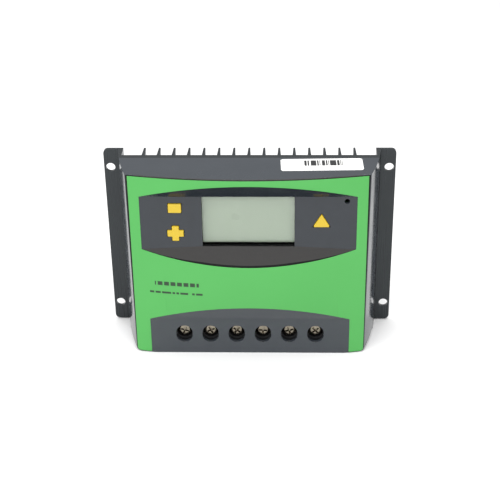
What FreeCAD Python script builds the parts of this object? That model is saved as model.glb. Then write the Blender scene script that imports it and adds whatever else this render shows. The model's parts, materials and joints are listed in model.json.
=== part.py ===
import FreeCAD, Part

import os
import re

import Sketcher
from FreeCAD import Placement, Rotation, Vector

# Wall-mounted solar charge controller. +X is to the right, +Y goes into the wall and +Z is up.
# The origin is the centre of the four mounting holes, on the wall plane. "Depth" means the
# distance out of the wall, so a point at depth d has y = -d. All lengths are in millimetres.

# ----------------------------------------------------------------------------- driving sizes

SIZES = (
    # heat sink
    ("flange_span", 188.0, "overall width across the two flanges"),
    ("body_height", 128.0, "overall height, the length of the extrusion"),
    ("flange_width", 9.8, "flange, from the foot of the leg to its outer edge"),
    ("flange_thickness", 2.5, "flange thickness"),
    ("flange_corner", 3.0, "radius of the flange corners"),
    ("hole_diameter", 6.0, "mounting hole"),
    ("hole_edge_side", 4.2, "mounting hole centre to the flange's outer edge"),
    ("hole_edge_end", 12.8, "mounting hole centre to the end of the extrusion"),
    ("leg_lean", 1.9, "how far the leg's outer face leans in from foot to plate"),
    ("leg_wall", 1.3, "leg wall beside the plate"),
    ("fin_length", 11.0, "fin length, from the wall plane to the plate"),
    ("fin_count", 15.0, "number of fins"),
    ("fin_end_gap", 13.87, "centre of the last fin to the inner face of the leg"),
    ("fin_root", 2.3, "fin thickness at the plate"),
    ("fin_tip", 1.3, "fin thickness at the tip"),
    ("plate_thickness", 4.3, "base plate"),
    ("tapped_depth", 3.5, "depth of the blind tapped holes in the plate"),
    # cover
    ("wall", 2.5, "wall of the moulded cover"),
    ("side_draft", 8.9, "how far a side wall leans in over its reach"),
    ("side_reach", 46.0, "depth at which the side wall's curve ends"),
    ("side_bulge", 0.8, "bow of the side wall over its reach"),
    ("front_radius", 365.0, "radius of the convex front"),
    ("front_depth", 48.05, "depth of the front at its middle"),
    ("front_tilt", 1.17, "lean of the front, in degrees: the lower edge stands further out"),
    ("front_edge", 0.8, "rounding of the front's outer edge"),
    ("low_corner", 3.0, "rounding between the side walls and the bottom wall"),
    ("cover_overhang", 0.8, "how far the cover stands below the end of the extrusion"),
    ("film_thickness", 0.3, "printed film on the front"),
    ("film_inset", 0.9, "film edge to the edge of the front"),
    ("film_rim", 1.5, "dark rim below the display recess; it runs out towards the recess's ends"),
    # display recess
    ("lens_sink", 6.28, "display panel, below the middle of the convex front"),
    ("lens_margin", 14.6, "top wall to the upper fold of the display panel"),
    ("lens_height", 34.7, "display panel, between its folds"),
    ("lens_slope", 1.6, "rise over depth of the two slopes of the display recess"),
    ("lens_drop", 2.1, "how far the lower fold slants down at its ends"),
    ("lcd_width", 58.0, "display opening"),
    ("lcd_rim", 2.0, "how far the display glass reaches behind the opening's edge"),
    ("window_thickness", 1.0, "clear window"),
    ("glass_thickness", 2.6, "liquid-crystal glass"),
    ("backlight_thickness", 3.0, "light guide behind the glass"),
    ("holder_wall", 1.7, "frame that holds the glass"),
    ("board_thickness", 1.6, "both circuit boards"),
    # keys and indicator
    ("key_inset", 21.6, "keys' centre line to the end of the display panel"),
    ("key_proud", 0.9, "key, above the panel"),
    ("key_gap", 0.4, "gap round a key in its opening"),
    ("key_lip", 1.0, "retaining lip of a key, its width and its thickness"),
    ("key_corner", 0.5, "corners of the rectangular and the plus key"),
    ("tip_corner", 1.1, "corners of the triangular key"),
    ("opening_corner", 0.4, "corners of the keys' openings"),
    ("bar_width", 8.2, "rectangular key, width"),
    ("bar_height", 6.1, "rectangular key, height"),
    ("bar_drop", 7.8, "rectangular key centre, below the upper fold"),
    ("plus_size", 10.2, "plus key, over its arms"),
    ("plus_arm", 4.3, "plus key, width of an arm"),
    ("plus_drop", 25.4, "plus key centre, below the upper fold"),
    ("triangle_base", 10.6, "triangular key, width"),
    ("triangle_height", 8.7, "triangular key, height"),
    ("triangle_drop", 16.4, "triangular key centre, below the upper fold"),
    ("switch_size", 6.0, "tact switch housing, width and height"),
    ("switch_depth", 3.0, "tact switch housing, depth"),
    ("plunger_diameter", 3.4, "tact switch plunger"),
    ("led_diameter", 3.0, "indicator light"),
    ("led_inset", 5.9, "indicator to the end of the display panel"),
    ("led_drop", 3.1, "indicator, below the upper fold"),
    # terminals
    ("terminal_sink", 5.74, "terminal panel, below the middle of the convex front"),
    ("terminal_margin", 25.2, "bottom wall to the fold above the terminals"),
    ("terminal_slope", 2.09, "rise over depth of the slope above the terminals"),
    ("terminal_level", 13.8, "terminal screw axes above the bottom of the cover"),
    ("terminal_pitch", 17.2, "distance between the terminals"),
    ("driver_width", 10.7, "screwdriver opening, width"),
    ("driver_height", 12.6, "screwdriver opening, height"),
    ("head_setback", 4.4, "screw head, behind the terminal panel"),
    ("head_diameter", 9.2, "terminal screw head"),
    ("head_height", 3.0, "terminal screw head"),
    ("shank_diameter", 5.0, "terminal screw, M5"),
    ("block_web", 1.7, "terminal block wall under the screw heads"),
    ("block_floor", 0.8, "terminal block wall on the board"),
    ("cage_width", 13.0, "clamp cage, width"),
    ("cage_length", 9.0, "clamp cage, along the wire"),
    ("cage_wall", 1.4, "clamp cage, side and rear walls"),
    ("cage_nut", 1.6, "clamp cage, threaded front wall"),
    ("wire_room", 5.0, "room for the wire in an open clamp"),
    ("tab_width", 9.0, "contact tab"),
    ("tab_thickness", 1.2, "contact tab"),
    # inside
    ("boss_radius", 3.4, "cover boss"),
    ("boss_inset", 6.6, "cover screw, in from the inner face of the leg"),
    ("boss_margin", 8.0, "cover screw, in from the ends of the extrusion"),
    ("standoff_height", 3.0, "power board above the plate"),
    ("standoff_radius", 3.0, "board stand-off"),
    ("screw_diameter", 3.0, "cover, board and clamp screws, M3"),
    ("screw_head", 5.6, "head diameter of those screws"),
    ("screw_head_height", 2.0, "head height of those screws"),
    ("play", 0.2, "gap between pieces that are assembled loosely"),
    ("running", 0.05, "radial clearance of what turns or slides"),
    # label
    ("label_width", 51.2, "white label on the top wall"),
    ("label_depth", 16.7, "white label, front to back"),
    ("label_thickness", 0.12, "white label"),
    ("label_turn", -1.6, "the label was stuck on a little crooked, in degrees"),
)

# Places that follow from the sizes above.
LAYOUT = {
    "top": "body_height / 2",
    "leg_foot": "flange_span / 2 - flange_width",
    "side_base": "leg_foot - leg_lean",
    "leg_inner": "side_base - leg_wall",
    "plate_front": "fin_length + plate_thickness",
    "hole_side": "flange_span / 2 - hole_edge_side",
    "hole_level": "top - hole_edge_end",
    "fin_pitch": "2 * (leg_inner - fin_end_gap) / (fin_count - 1)",
    "side_end": "side_base - side_draft",
    "lean": "tan(front_tilt * 1deg)",
    "cover_bottom": "-(top + cover_overhang)",
    # where the front meets the side walls: its depth, its share of the side wall's reach, its half width
    "front_side_depth": "front_depth - front_radius + sqrt(front_radius ^ 2 - side_end ^ 2)",
    "front_share": "(front_side_depth - plate_front) / (side_reach - plate_front)",
    "front_half": "side_base - side_draft * front_share + 4 * side_bulge * front_share * (1 - front_share)",
    # display recess: depth of its panel at mid height, at its upper fold and at its lower fold
    "lens_face": "front_depth - lens_sink",
    "lens_top": "top - lens_margin",
    "lens_bottom": "lens_top - lens_height",
    "lens_middle": "lens_top - lens_height / 2",
    "lens_top_depth": "lens_face - lens_top * lean",
    "lens_half": "sqrt(2 * front_radius * lens_sink - lens_sink ^ 2)",
    "panel_back": "lens_top_depth - wall",
    "window_front": "panel_back - play / 2",
    "window_back": "window_front - window_thickness",
    "glass_front": "window_back - running",
    "glass_back": "glass_front - glass_thickness",
    "backlight_back": "glass_back - backlight_thickness",
    "upper_board_front": "backlight_back - play",
    "upper_board_back": "upper_board_front - board_thickness",
    "glass_half_width": "lcd_width / 2 + lcd_rim",
    "glass_half_height": "lens_height / 2 + lcd_rim * 0.75",
    "holder_half_width": "glass_half_width + running + holder_wall",
    "holder_half_height": "glass_half_height + running + holder_wall",
    "key_side": "lens_half - key_inset",
    "lip_front": "panel_back - play",
    "lip_back": "lip_front - key_lip",
    "switch_front": "upper_board_front + switch_depth",
    "plunger_front": "switch_front + 1.0",
    "led_side": "lens_half - led_inset",
    "led_level": "lens_top - led_drop",
    # terminals
    "terminal_fold": "terminal_margin - top",
    "terminal_axis": "terminal_level - top",
    "terminal_face": "front_depth - terminal_sink - terminal_axis * lean",
    "head_front": "terminal_face - head_setback",
    "head_seat": "head_front - head_height",
    "block_front": "terminal_face - wall - 7 * play",
    "block_half": "3 * terminal_pitch + 1.2",
    "block_low": "cover_bottom + wall + play",
    "block_high": "terminal_axis + cage_length / 2 + 5.3",
    "board_back": "plate_front + standoff_height",
    "board_front": "board_back + board_thickness",
    "cage_back": "board_front + block_floor + play",
    "wire_back": "cage_back + cage_wall",
    "tab_back": "wire_back + wire_room",
    "tab_front": "tab_back + tab_thickness",
    "nut_back": "tab_front + play * 1.5",
    "nut_front": "nut_back + cage_nut",
    # inside
    "mouth_half": "cage_width / 2 - 0.3",
    "boss_side": "leg_inner - boss_inset",
    "boss_level": "top - boss_margin",
    "board_half": "boss_side - boss_radius - 1.0",
    "board_low": "wall - top + play * 2.5",
    "board_high": "top - 28.0",
    "screw_radius": "screw_diameter / 2",
    "post_thread": "2.5 / 2",
}

# Height of the arc of a quarter circle over its chord, as a share of its radius.
QUARTER = "0.29289"

WORD = re.compile(r"[a-z][a-z_]*")
SIZE_NAMES = tuple(row[0] for row in SIZES)

doc = FreeCAD.newDocument("charge_controller")

sizes = doc.addObject("Spreadsheet::Sheet", "sizes")
for row_number, (alias, value, meaning) in enumerate(SIZES, start=1):
    sizes.set("A%d" % row_number, meaning)
    sizes.set("B%d" % row_number, str(value))
    sizes.setAlias("B%d" % row_number, alias)
doc.recompute()

layout = doc.addObject("App::FeaturePython", "layout")


def linked(text):
    """The text of a size with each name pointed at the sheet or at the layout."""
    def owner(match):
        word = match.group()
        if word in SIZE_NAMES:
            return "sizes." + word
        if word in LAYOUT:
            return "layout." + word
        return word
    return WORD.sub(owner, str(text))


for place, rule in LAYOUT.items():
    layout.addProperty("App::PropertyFloat", place)
    layout.setExpression(place, linked(rule))
doc.recompute()


gauge = doc.addObject("App::FeaturePython", "gauge")
gauge.addProperty("App::PropertyFloat", "reading")


def number(text):
    """The present value of a size text."""
    gauge.setExpression("reading", linked(text))
    gauge.recompute()
    return gauge.reading


# ----------------------------------------------------------------------------- small helpers

nodes = {}


def node(item, label):
    """Names a sub-part: its label is the name of its file."""
    item.Label = label
    nodes[label] = item
    return item


def bind(item, **rules):
    """Ties properties of a document object to the sheet. __ stands for a dot."""
    for name, rule in rules.items():
        item.setExpression(name.replace("__", "."), linked(rule))
    return item


def place(item, side="0", depth="0", level="0"):
    return bind(item, Placement__Base__x=side, Placement__Base__y="-(%s)" % depth, Placement__Base__z=level)


def box(side, depth, level, label="box"):
    """A block between two sides, two depths and two levels."""
    item = doc.addObject("Part::Box", label)
    bind(item,
         Length="(%s) - (%s)" % (side[1], side[0]),
         Width="(%s) - (%s)" % (depth[1], depth[0]),
         Height="(%s) - (%s)" % (level[1], level[0]))
    return place(item, side[0], depth[1], level[0])


def centred(side, level, width, height, depth, label="block"):
    """A block centred on a side and a level, between two depths."""
    return box(("%s - (%s) / 2" % (side, width), "%s + (%s) / 2" % (side, width)), depth,
               ("%s - (%s) / 2" % (level, height), "%s + (%s) / 2" % (level, height)), label)


def rod(side, level, depth, radius, label="rod"):
    """A round bar along the depth."""
    item = doc.addObject("Part::Cylinder", label)
    item.Placement = Placement(Vector(), Rotation(Vector(1, 0, 0), 90))
    bind(item, Radius=radius, Height="(%s) - (%s)" % (depth[1], depth[0]))
    return place(item, side, depth[0], level)


def group(kind, items, label="group"):
    item = doc.addObject(kind, label)
    if kind == "Part::Compound":
        item.Links = items
    else:
        item.Shapes = items
        item.Refine = True
    return item


def fuse(items, label="fused"):
    return group("Part::MultiFuse", items, label)


def common(items, label="shared"):
    return group("Part::MultiCommon", items, label)


def together(items, label="set"):
    return group("Part::Compound", items, label)


def cut(base, tools, label="cut"):
    """Takes the tools away from the base. Several tools are joined first."""
    item = doc.addObject("Part::Cut", label)
    item.Base = base
    item.Tool = tools[0] if len(tools) == 1 else fuse(tools, label + "_tool")
    item.Refine = True
    return item


def draw(sketch, points):
    """Draws a closed outline, tied to the sheet. A point is (x, y), or (x, y, bulge) where an arc
    ends there; a positive bulge lies to the left of the way from the last point."""
    corners = [Vector(number(point[0]), number(point[1]), 0) for point in points]
    ends = []
    for index, point in enumerate(points):
        start, end = corners[index - 1], corners[index]
        if len(point) == 3:
            along = (end - start).normalize()
            crown = (start + end) / 2 + Vector(-along.y, along.x, 0) * number(point[2])
            geometry = sketch.addGeometry(Part.Arc(start, crown, end), False)
        else:
            geometry = sketch.addGeometry(Part.LineSegment(start, end), False)
        forward = sketch.getPoint(geometry, 1).distanceToPoint(start) < 1e-6
        ends.append((geometry, (1, 2) if forward else (2, 1)))
    for index, point in enumerate(points):
        geometry, (first, last) = ends[index]
        next_geometry, (next_first, _) = ends[(index + 1) % len(ends)]
        sketch.addConstraint(Sketcher.Constraint("Coincident", geometry, last, next_geometry, next_first))
        for way, text, value in (("DistanceX", point[0], corners[index].x),
                                 ("DistanceY", point[1], corners[index].y)):
            rule = sketch.addConstraint(Sketcher.Constraint(way, -1, 1, geometry, last, value))
            sketch.setExpression("Constraints[%d]" % rule, linked(text))
        if len(point) == 3:
            before = points[index - 1]
            chord = "((%s) - (%s)) ^ 2 + ((%s) - (%s)) ^ 2" % (point[0], before[0], point[1], before[1])
            radius = "((%s) / 4 + (%s) ^ 2) / (2 * abs(%s))" % (chord, point[2], point[2])
            rule = sketch.addConstraint(Sketcher.Constraint("Radius", geometry, number(radius)))
            sketch.setExpression("Constraints[%d]" % rule, linked(radius))


def circle(sketch, side, level, radius):
    """Draws a circle tied to the sheet."""
    shape = Part.Circle(Vector(number(side), number(level), 0), Vector(0, 0, 1), number(radius))
    geometry = sketch.addGeometry(shape, False)
    for kind, text in (("DistanceX", side), ("DistanceY", level)):
        rule = sketch.addConstraint(Sketcher.Constraint(kind, -1, 1, geometry, 3, number(text)))
        sketch.setExpression("Constraints[%d]" % rule, linked(text))
    rule = sketch.addConstraint(Sketcher.Constraint("Radius", geometry, number(radius)))
    sketch.setExpression("Constraints[%d]" % rule, linked(radius))


def section(label, side, points):
    """A free-standing outline across the width, at one side. Its points are (depth, level)."""
    sketch = doc.addObject("Sketcher::SketchObject", label)
    sketch.Placement = Placement(Vector(), Rotation(Vector(1, 1, 1), 120))
    bind(sketch, Placement__Base__x=side)
    draw(sketch, [("-(%s)" % depth, level) for depth, level in points])
    return sketch


def new_body(label):
    body = doc.addObject("PartDesign::Body", label)
    body.Label = label + "_body"
    return body


def new_sketch(body, role, offset="0"):
    """A sketch on one of the body's own planes. On XZ_Plane its normal is the depth."""
    sketch = body.newObject("Sketcher::SketchObject", body.Name + "_sketch")
    plane = [feature for feature in body.Origin.OriginFeatures if feature.Role == role][0]
    sketch.AttachmentSupport = (plane, [""])
    sketch.MapMode = "FlatFace"
    bind(sketch, AttachmentOffset__Base__z=offset)
    return sketch


def pad(body, sketch, length, middle=False):
    feature = body.newObject("PartDesign::Pad", body.Name + "_pad")
    feature.Profile = sketch
    feature.Midplane = middle
    sketch.Visibility = False
    return bind(feature, Length=length)


def pocket(body, sketch, depth, both_ways=False):
    """Cuts towards the wall from the sketch, or to both sides of it."""
    before = volume(body)
    feature = body.newObject("PartDesign::Pocket", body.Name + "_pocket")
    feature.Profile = sketch
    feature.Midplane = both_ways
    bind(feature, Length=depth)
    doc.recompute()
    if volume(body) > before - 1e-3:
        raise ValueError("a pocket in %s cuts nothing" % body.Name)
    return feature


def volume(body):
    doc.recompute()
    return body.Shape.Volume


def row(body, feature, axis_role, length, count):
    """Repeats a feature along an axis of the body."""
    axis = [item for item in body.Origin.OriginFeatures if item.Role == axis_role][0]
    pattern = body.newObject("PartDesign::LinearPattern", body.Name + "_row")
    pattern.Originals = [feature]
    pattern.Direction = (axis, [""])
    bind(pattern, Length=length, Occurrences=count)
    body.Tip = pattern
    return pattern


def round_edges(body, feature, radius, wanted):
    """Rounds the edges of a feature whose middle point passes a test."""
    doc.recompute()
    names = ["Edge%d" % (index + 1) for index, edge in enumerate(feature.Shape.Edges)
             if wanted(edge.CenterOfMass, edge)]
    fillet = body.newObject("PartDesign::Fillet", body.Name + "_fillet")
    fillet.Base = (feature, names)
    return bind(fillet, Radius=radius)


# ----------------------------------------------------------------------------- heat sink

def make_heat_sink():
    """One black anodised extrusion: base plate, tapered fins, and a stepped flange on each side."""
    body = new_body("heat_sink")
    profile = new_sketch(body, "XY_Plane")
    draw(profile, [
        ("-flange_span / 2", "0"),
        ("-flange_span / 2", "-flange_thickness"),
        ("-leg_foot", "-flange_thickness"),
        ("-side_base", "-plate_front"),
        ("side_base", "-plate_front"),
        ("leg_foot", "-flange_thickness"),
        ("flange_span / 2", "-flange_thickness"),
        ("flange_span / 2", "0"),
        ("leg_inner", "0"),
        ("leg_inner", "-fin_length"),
        ("-leg_inner", "-fin_length"),
        ("-leg_inner", "0"),
    ])
    channel = pad(body, profile, "body_height", middle=True)
    outer_side = number("flange_span / 2")
    end_level = number("top")
    rounded = round_edges(body, channel, "flange_corner", lambda middle, edge:
                          abs(abs(middle.x) - outer_side) < 1e-3 and abs(abs(middle.z) - end_level) < 1e-3
                          and edge.Length < number("flange_thickness") + 1e-3)
    body.Tip = rounded

    first_fin = "fin_end_gap - leg_inner"
    fin = new_sketch(body, "XY_Plane")
    draw(fin, [
        (first_fin + " - fin_root / 2", "-fin_length - 0.5"),
        (first_fin + " + fin_root / 2", "-fin_length - 0.5"),
        (first_fin + " + fin_tip / 2", "-fin_tip * 0.35"),
        (first_fin + " - fin_tip / 2", "-fin_tip * 0.35", "-fin_tip * 0.35"),
    ])
    one_fin = pad(body, fin, "body_height", middle=True)
    row(body, one_fin, "X_Axis", "fin_pitch * (fin_count - 1)", "fin_count")

    holes = new_sketch(body, "XZ_Plane")
    for side in ("-hole_side", "hole_side"):
        for level in ("-hole_level", "hole_level"):
            circle(holes, side, level, "hole_diameter / 2")
    for side in ("-boss_side", "boss_side"):
        for level in ("-boss_level", "boss_level"):
            circle(holes, side, level, "screw_radius + play")
    body.Tip = pocket(body, holes, "4 * plate_front", both_ways=True)

    tapped = new_sketch(body, "XZ_Plane", "plate_front")
    for side, level in STANDOFFS:
        circle(tapped, side, level, "screw_radius + running")
    for side in CLAMP_SIDES:
        circle(tapped, side, CLAMP_LEVEL, "screw_radius + running")
    body.Tip = pocket(body, tapped, "tapped_depth")
    node(body, "heat_sink")


# Board stand-offs, transistor row and its clamps.
STANDOFFS = (
    ("-(board_half - 6)", "board_high - 8"), ("0", "board_high - 12"), ("board_half - 6", "board_high - 8"),
    ("-(board_half - 6)", "block_high - 6"), ("0", "block_high + 9"), ("board_half - 6", "block_high - 6"),
)
TRANSISTOR_COUNT = 8
TRANSISTOR_PITCH = 15.5
TRANSISTOR_SIDES = [(index - (TRANSISTOR_COUNT - 1) / 2) * TRANSISTOR_PITCH
                    for index in range(TRANSISTOR_COUNT)]
TRANSISTOR_FOOT = "board_high + 7"
CLAMP_SIDES = [(a + b) / 2 for a, b in zip(TRANSISTOR_SIDES[::2], TRANSISTOR_SIDES[1::2])]
CLAMP_LEVEL = TRANSISTOR_FOOT + " + 5"
CLAMP_FRONT = "plate_front + 6.4"
PART_LEVEL = "block_high + 26"


# ----------------------------------------------------------------------------- cover

def cover_block(label, inset, base):
    """The cover's plan, less an inset, as tall as the cover less the same inset at each end."""
    body = new_body(label)
    plan = new_sketch(body, "XY_Plane")
    draw(plan, [
        ("-(side_base - %s)" % inset, "-(%s)" % base, "side_bulge"),
        ("side_base - %s" % inset, "-(%s)" % base),
        ("side_end - %s" % inset, "-side_reach", "side_bulge"),
        ("side_end - %s" % inset, "-front_depth - 10"),
        ("-(side_end - %s)" % inset, "-front_depth - 10"),
        ("-(side_end - %s)" % inset, "-side_reach"),
    ])
    block = pad(body, plan, "body_height + cover_overhang - 2 * %s" % inset, middle=True)
    if inset == "0":
        low = -number("(body_height + cover_overhang) / 2")
        side = number("side_end") - 1e-3
        body.Tip = round_edges(body, block, "low_corner", lambda middle, edge:
                               abs(middle.z - low) < 1e-3 and abs(middle.x) > side)
    return place(body, level="-cover_overhang / 2")


def front_cylinder(label, growth):
    """The round bar whose surface is the leaning convex front."""
    item = doc.addObject("Part::Cylinder", label)
    item.Placement = Placement(Vector(), Rotation(Vector(1, 0, 0), -1))
    bind(item, Radius="front_radius + %s" % growth, Height="2 * body_height",
         Placement__Rotation__Angle="-front_tilt * 1deg")
    return place(item, "0", "front_depth - front_radius + body_height * sin(front_tilt * 1deg)",
                 "-body_height * cos(front_tilt * 1deg)")


def lens_cutter(label, growth, rim="0"):
    """The space of the display recess: a panel parallel to the front between two slopes. The lower
    fold is straight under the display and slants down beyond it. growth moves every face inwards,
    and rim lowers the fold under the display, by less and less towards the ends."""
    turn = "(sqrt(lens_slope ^ 2 + 1) - lens_slope)"
    reach = "14"
    upper = "lens_top + %s * %s" % (growth, turn)
    far = "((side_base - lcd_width / 2) / (lens_half - lcd_width / 2))"
    ends = ("lens_drop * %s" % far, "%s * (1 - %s)" % (rim, far))
    sections = []
    for side, (drop, edge) in (("-side_base", ends), ("-lcd_width / 2", ("0", rim)),
                               ("lcd_width / 2", ("0", rim)), ("side_base", ends)):
        lower = "lens_bottom - %s - %s - %s * %s" % (drop, edge, growth, turn)
        upper_depth = "lens_face - lens_top * lean - %s" % growth
        lower_depth = "lens_face - (lens_bottom - %s) * lean - %s" % (drop, growth)
        sections.append(section(label + "_section", side, [
            (upper_depth, upper),
            (lower_depth, lower),
            ("%s + %s" % (lower_depth, reach), "%s - %s * lens_slope" % (lower, reach)),
            ("%s + %s" % (upper_depth, reach), "%s + %s * lens_slope" % (upper, reach)),
        ]))
    loft = doc.addObject("Part::Loft", label)
    loft.Sections = sections
    loft.Solid = True
    loft.Ruled = True
    return loft


def terminal_cutter(label, growth):
    """The space in front of the terminal panel, which is parallel to the front, down to below the
    bottom wall. growth moves every face inwards."""
    turn = "(sqrt(terminal_slope ^ 2 + 1) - terminal_slope)"
    fold = "terminal_fold + %s * %s" % (growth, turn)
    low = "cover_bottom - 10"
    depth, low_depth = ["front_depth - terminal_sink - (%s) * lean - %s" % (level, growth)
                        for level in (fold, low)]
    profile = section(label + "_section", "-side_base", [
        (low_depth, low),
        (depth, fold),
        ("%s + 12" % depth, "%s + 12 * terminal_slope" % fold),
        ("%s + 12" % depth, low),
    ])
    item = doc.addObject("Part::Extrusion", label)
    item.Base = profile
    item.DirMode = "Custom"
    item.Dir = Vector(1, 0, 0)
    item.Solid = True
    return bind(item, LengthFwd="2 * side_base")


def bar_key(growth="0", corner="key_corner"):
    """Outline of the rectangular key about its own centre."""
    half = "(bar_width / 2 + %s)" % growth
    tall = "(bar_height / 2 + %s)" % growth
    return chamfered([("-" + half, "-" + tall), (half, "-" + tall), (half, tall), ("-" + half, tall)], corner)


def chamfered(points, corner):
    """Replaces each square corner of an outline along the axes by a short arc."""
    result = []
    count = len(points)
    for index, (side, level) in enumerate(points):
        for other in (points[index - 1], points[(index + 1) % count]):
            if other[1] == level:
                sign = "+" if number(other[0]) > number(side) else "-"
                result.append(("%s %s %s" % (side, sign, corner), level))
            else:
                sign = "+" if number(other[1]) > number(level) else "-"
                result.append((side, "%s %s %s" % (level, sign, corner)))
        turn = cross(points[index - 1], points[index], points[(index + 1) % count])
        result[-1] = result[-1] + ("%s%s * %s" % ("-" if turn > 0 else "", corner, QUARTER),)
    return result


def cross(before, here, after):
    """Positive where the outline turns left."""
    ax, ay = number(here[0]) - number(before[0]), number(here[1]) - number(before[1])
    bx, by = number(after[0]) - number(here[0]), number(after[1]) - number(here[1])
    return ax * by - ay * bx


def plus_key(growth="0", corner="key_corner"):
    """Outline of the plus key about its own centre."""
    far = "(plus_size / 2 + %s)" % growth
    near = "(plus_arm / 2 + %s)" % growth
    return chamfered([
        ("-" + near, "-" + far), (near, "-" + far), (near, "-" + near), (far, "-" + near),
        (far, near), (near, near), (near, far), ("-" + near, far),
        ("-" + near, near), ("-" + far, near), ("-" + far, "-" + near), ("-" + near, "-" + near),
    ], corner)


def triangle_key(growth="0", corner="tip_corner"):
    """Outline of the triangular key about its own centre, with rounded tips."""
    half = "(triangle_base / 2 + %s * 1.6)" % growth
    low = "(-triangle_height / 2 - %s)" % growth
    high = "(triangle_height / 2 + %s * 1.6)" % growth
    return [
        ("-%s + %s" % (half, corner), low, "-%s * 0.3" % corner),
        ("%s - %s" % (half, corner), low),
        ("%s - %s * 0.5" % (half, corner), "%s + %s" % (low, corner), "-%s * 0.3" % corner),
        ("%s * 0.4" % corner, "%s - %s * 0.5" % (high, corner)),
        ("-%s * 0.4" % corner, "%s - %s * 0.5" % (high, corner), "-%s * 0.2" % corner),
        ("-%s + %s * 0.5" % (half, corner), "%s + %s" % (low, corner)),
    ]


KEYS = {
    "rectangle": (bar_key, "-key_side", "lens_top - bar_drop"),
    "plus": (plus_key, "-key_side", "lens_top - plus_drop"),
    "triangle": (triangle_key, "key_side", "lens_top - triangle_drop"),
}
POLES = range(6)


def pole_side(index):
    return "(%d - 2.5) * terminal_pitch" % index


def key_opening(name):
    """The hole in the display panel round a key."""
    outline, side, level = KEYS[name]
    body = new_body("opening_" + name)
    profile = new_sketch(body, "XZ_Plane")
    draw(profile, outline("key_gap", "opening_corner"))
    pad(body, profile, "wall + 6")
    return place(body, side, "panel_back - 3", level)


def driver_opening(index):
    """The upright oval hole in front of a terminal screw."""
    straight = "((driver_height - driver_width) / 2)"
    radius = "(driver_width / 2)"
    body = new_body("driver_opening_%d" % index)
    profile = new_sketch(body, "XZ_Plane")
    draw(profile, oval_points(straight, radius))
    pad(body, profile, "wall + 6")
    return place(body, pole_side(index), "terminal_face - wall - 3", "terminal_axis")


def oval_points(straight, radius):
    """An upright oval made of two straight sides and four quarter rounds."""
    bow = "-%s * %s" % (radius, QUARTER)
    return [
        ("-" + radius, straight, bow),
        ("-" + radius, "-" + straight),
        ("0", "-%s - %s" % (straight, radius), bow),
        (radius, "-" + straight, bow),
        (radius, straight),
        ("0", "%s + %s" % (straight, radius), bow),
    ]


BOSSES = [(side, level) for side in ("-boss_side", "boss_side") for level in ("-boss_level", "boss_level")]
POSTS = (
    ("-(lens_half - 10)", "lens_bottom - 1.4"), ("lens_half - 10", "lens_bottom - 1.4"),
    ("-38", "lens_top + 3.2"), ("38", "lens_top + 3.2"),
)


def make_cover():
    """The moulded cover: a hollow shell with a display recess and a terminal recess, its openings,
    four screw bosses and four posts for the upper board."""
    block = cover_block("cover_block", "0", "plate_front")
    rough = common([block, front_cylinder("front_bar", "0")], "cover_rough")
    doc.recompute()
    outer = doc.addObject("Part::Fillet", "cover_outer")
    outer.Base = rough
    axis = rough.Shapes[1].Placement
    radius = number("front_radius")
    along = axis.Rotation.multVec(Vector(0, 0, 1))
    rounding = number("front_edge")

    def on_front(point):
        arm = point - axis.Base
        return abs((arm - along * arm.dot(along)).Length - radius) < 1e-3

    outer.Edges = [
        (index + 1, rounding, rounding) for index, edge in enumerate(rough.Shape.Edges)
        if all(on_front(edge.valueAt(edge.FirstParameter + (edge.LastParameter - edge.FirstParameter) * t))
               for t in (0.1, 0.5, 0.9))
    ]

    hollow = cut(common([cover_block("hollow_block", "wall", "plate_front - 2"),
                         front_cylinder("hollow_bar", "-wall")], "hollow_rough"),
                 [lens_cutter("lens_backing", "wall"), terminal_cutter("terminal_backing", "wall")], "hollow")
    faced = cut(outer, [lens_cutter("lens_space", "0"), terminal_cutter("terminal_space", "0")],
                "faced_block")
    shell = cut(faced, [hollow], "shell")

    bosses = [rod(side, level, ("plate_front", "plate_front + 13"), "boss_radius", "boss")
              for side, level in BOSSES]
    posts = [rod(side, level, ("upper_board_front", "lens_face + 3"), "3.0", "post") for side, level in POSTS]
    stiff = fuse([shell, common([faced, fuse(bosses + posts, "posts")], "trimmed_posts")], "stiff_shell")

    openings = [
        box(("-lcd_width / 2", "lcd_width / 2"), ("panel_back - 3", "lens_face + 3"),
            ("lens_bottom", "lens_top"), "display_opening"),
        rod("led_side", "led_level", ("panel_back - 2", "lens_face + 3"), "led_diameter / 2 + play",
            "led_opening"),
    ]
    openings += [key_opening(name) for name in KEYS]
    openings += [driver_opening(index) for index in POLES]
    bottom_wall = ("cover_bottom - 2", "cover_bottom + wall + 1")
    mouth = ("wire_back - 1.5", "tab_front + 1.1")
    openings += [box((pole_side(index) + " - mouth_half", pole_side(index) + " + mouth_half"),
                     mouth, bottom_wall, "wire_opening") for index in POLES]
    boss_depth = ("plate_front - 1", "plate_front + 10")
    openings += [rod(side, level, boss_depth, "screw_radius + running", "boss_bore")
                 for side, level in BOSSES]
    post_depth = ("upper_board_front - 1", "upper_board_front + 6")
    openings += [rod(side, level, post_depth, "post_thread + running", "post_bore") for side, level in POSTS]
    node(cut(stiff, openings, "front_cover"), "front_cover")


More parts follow.
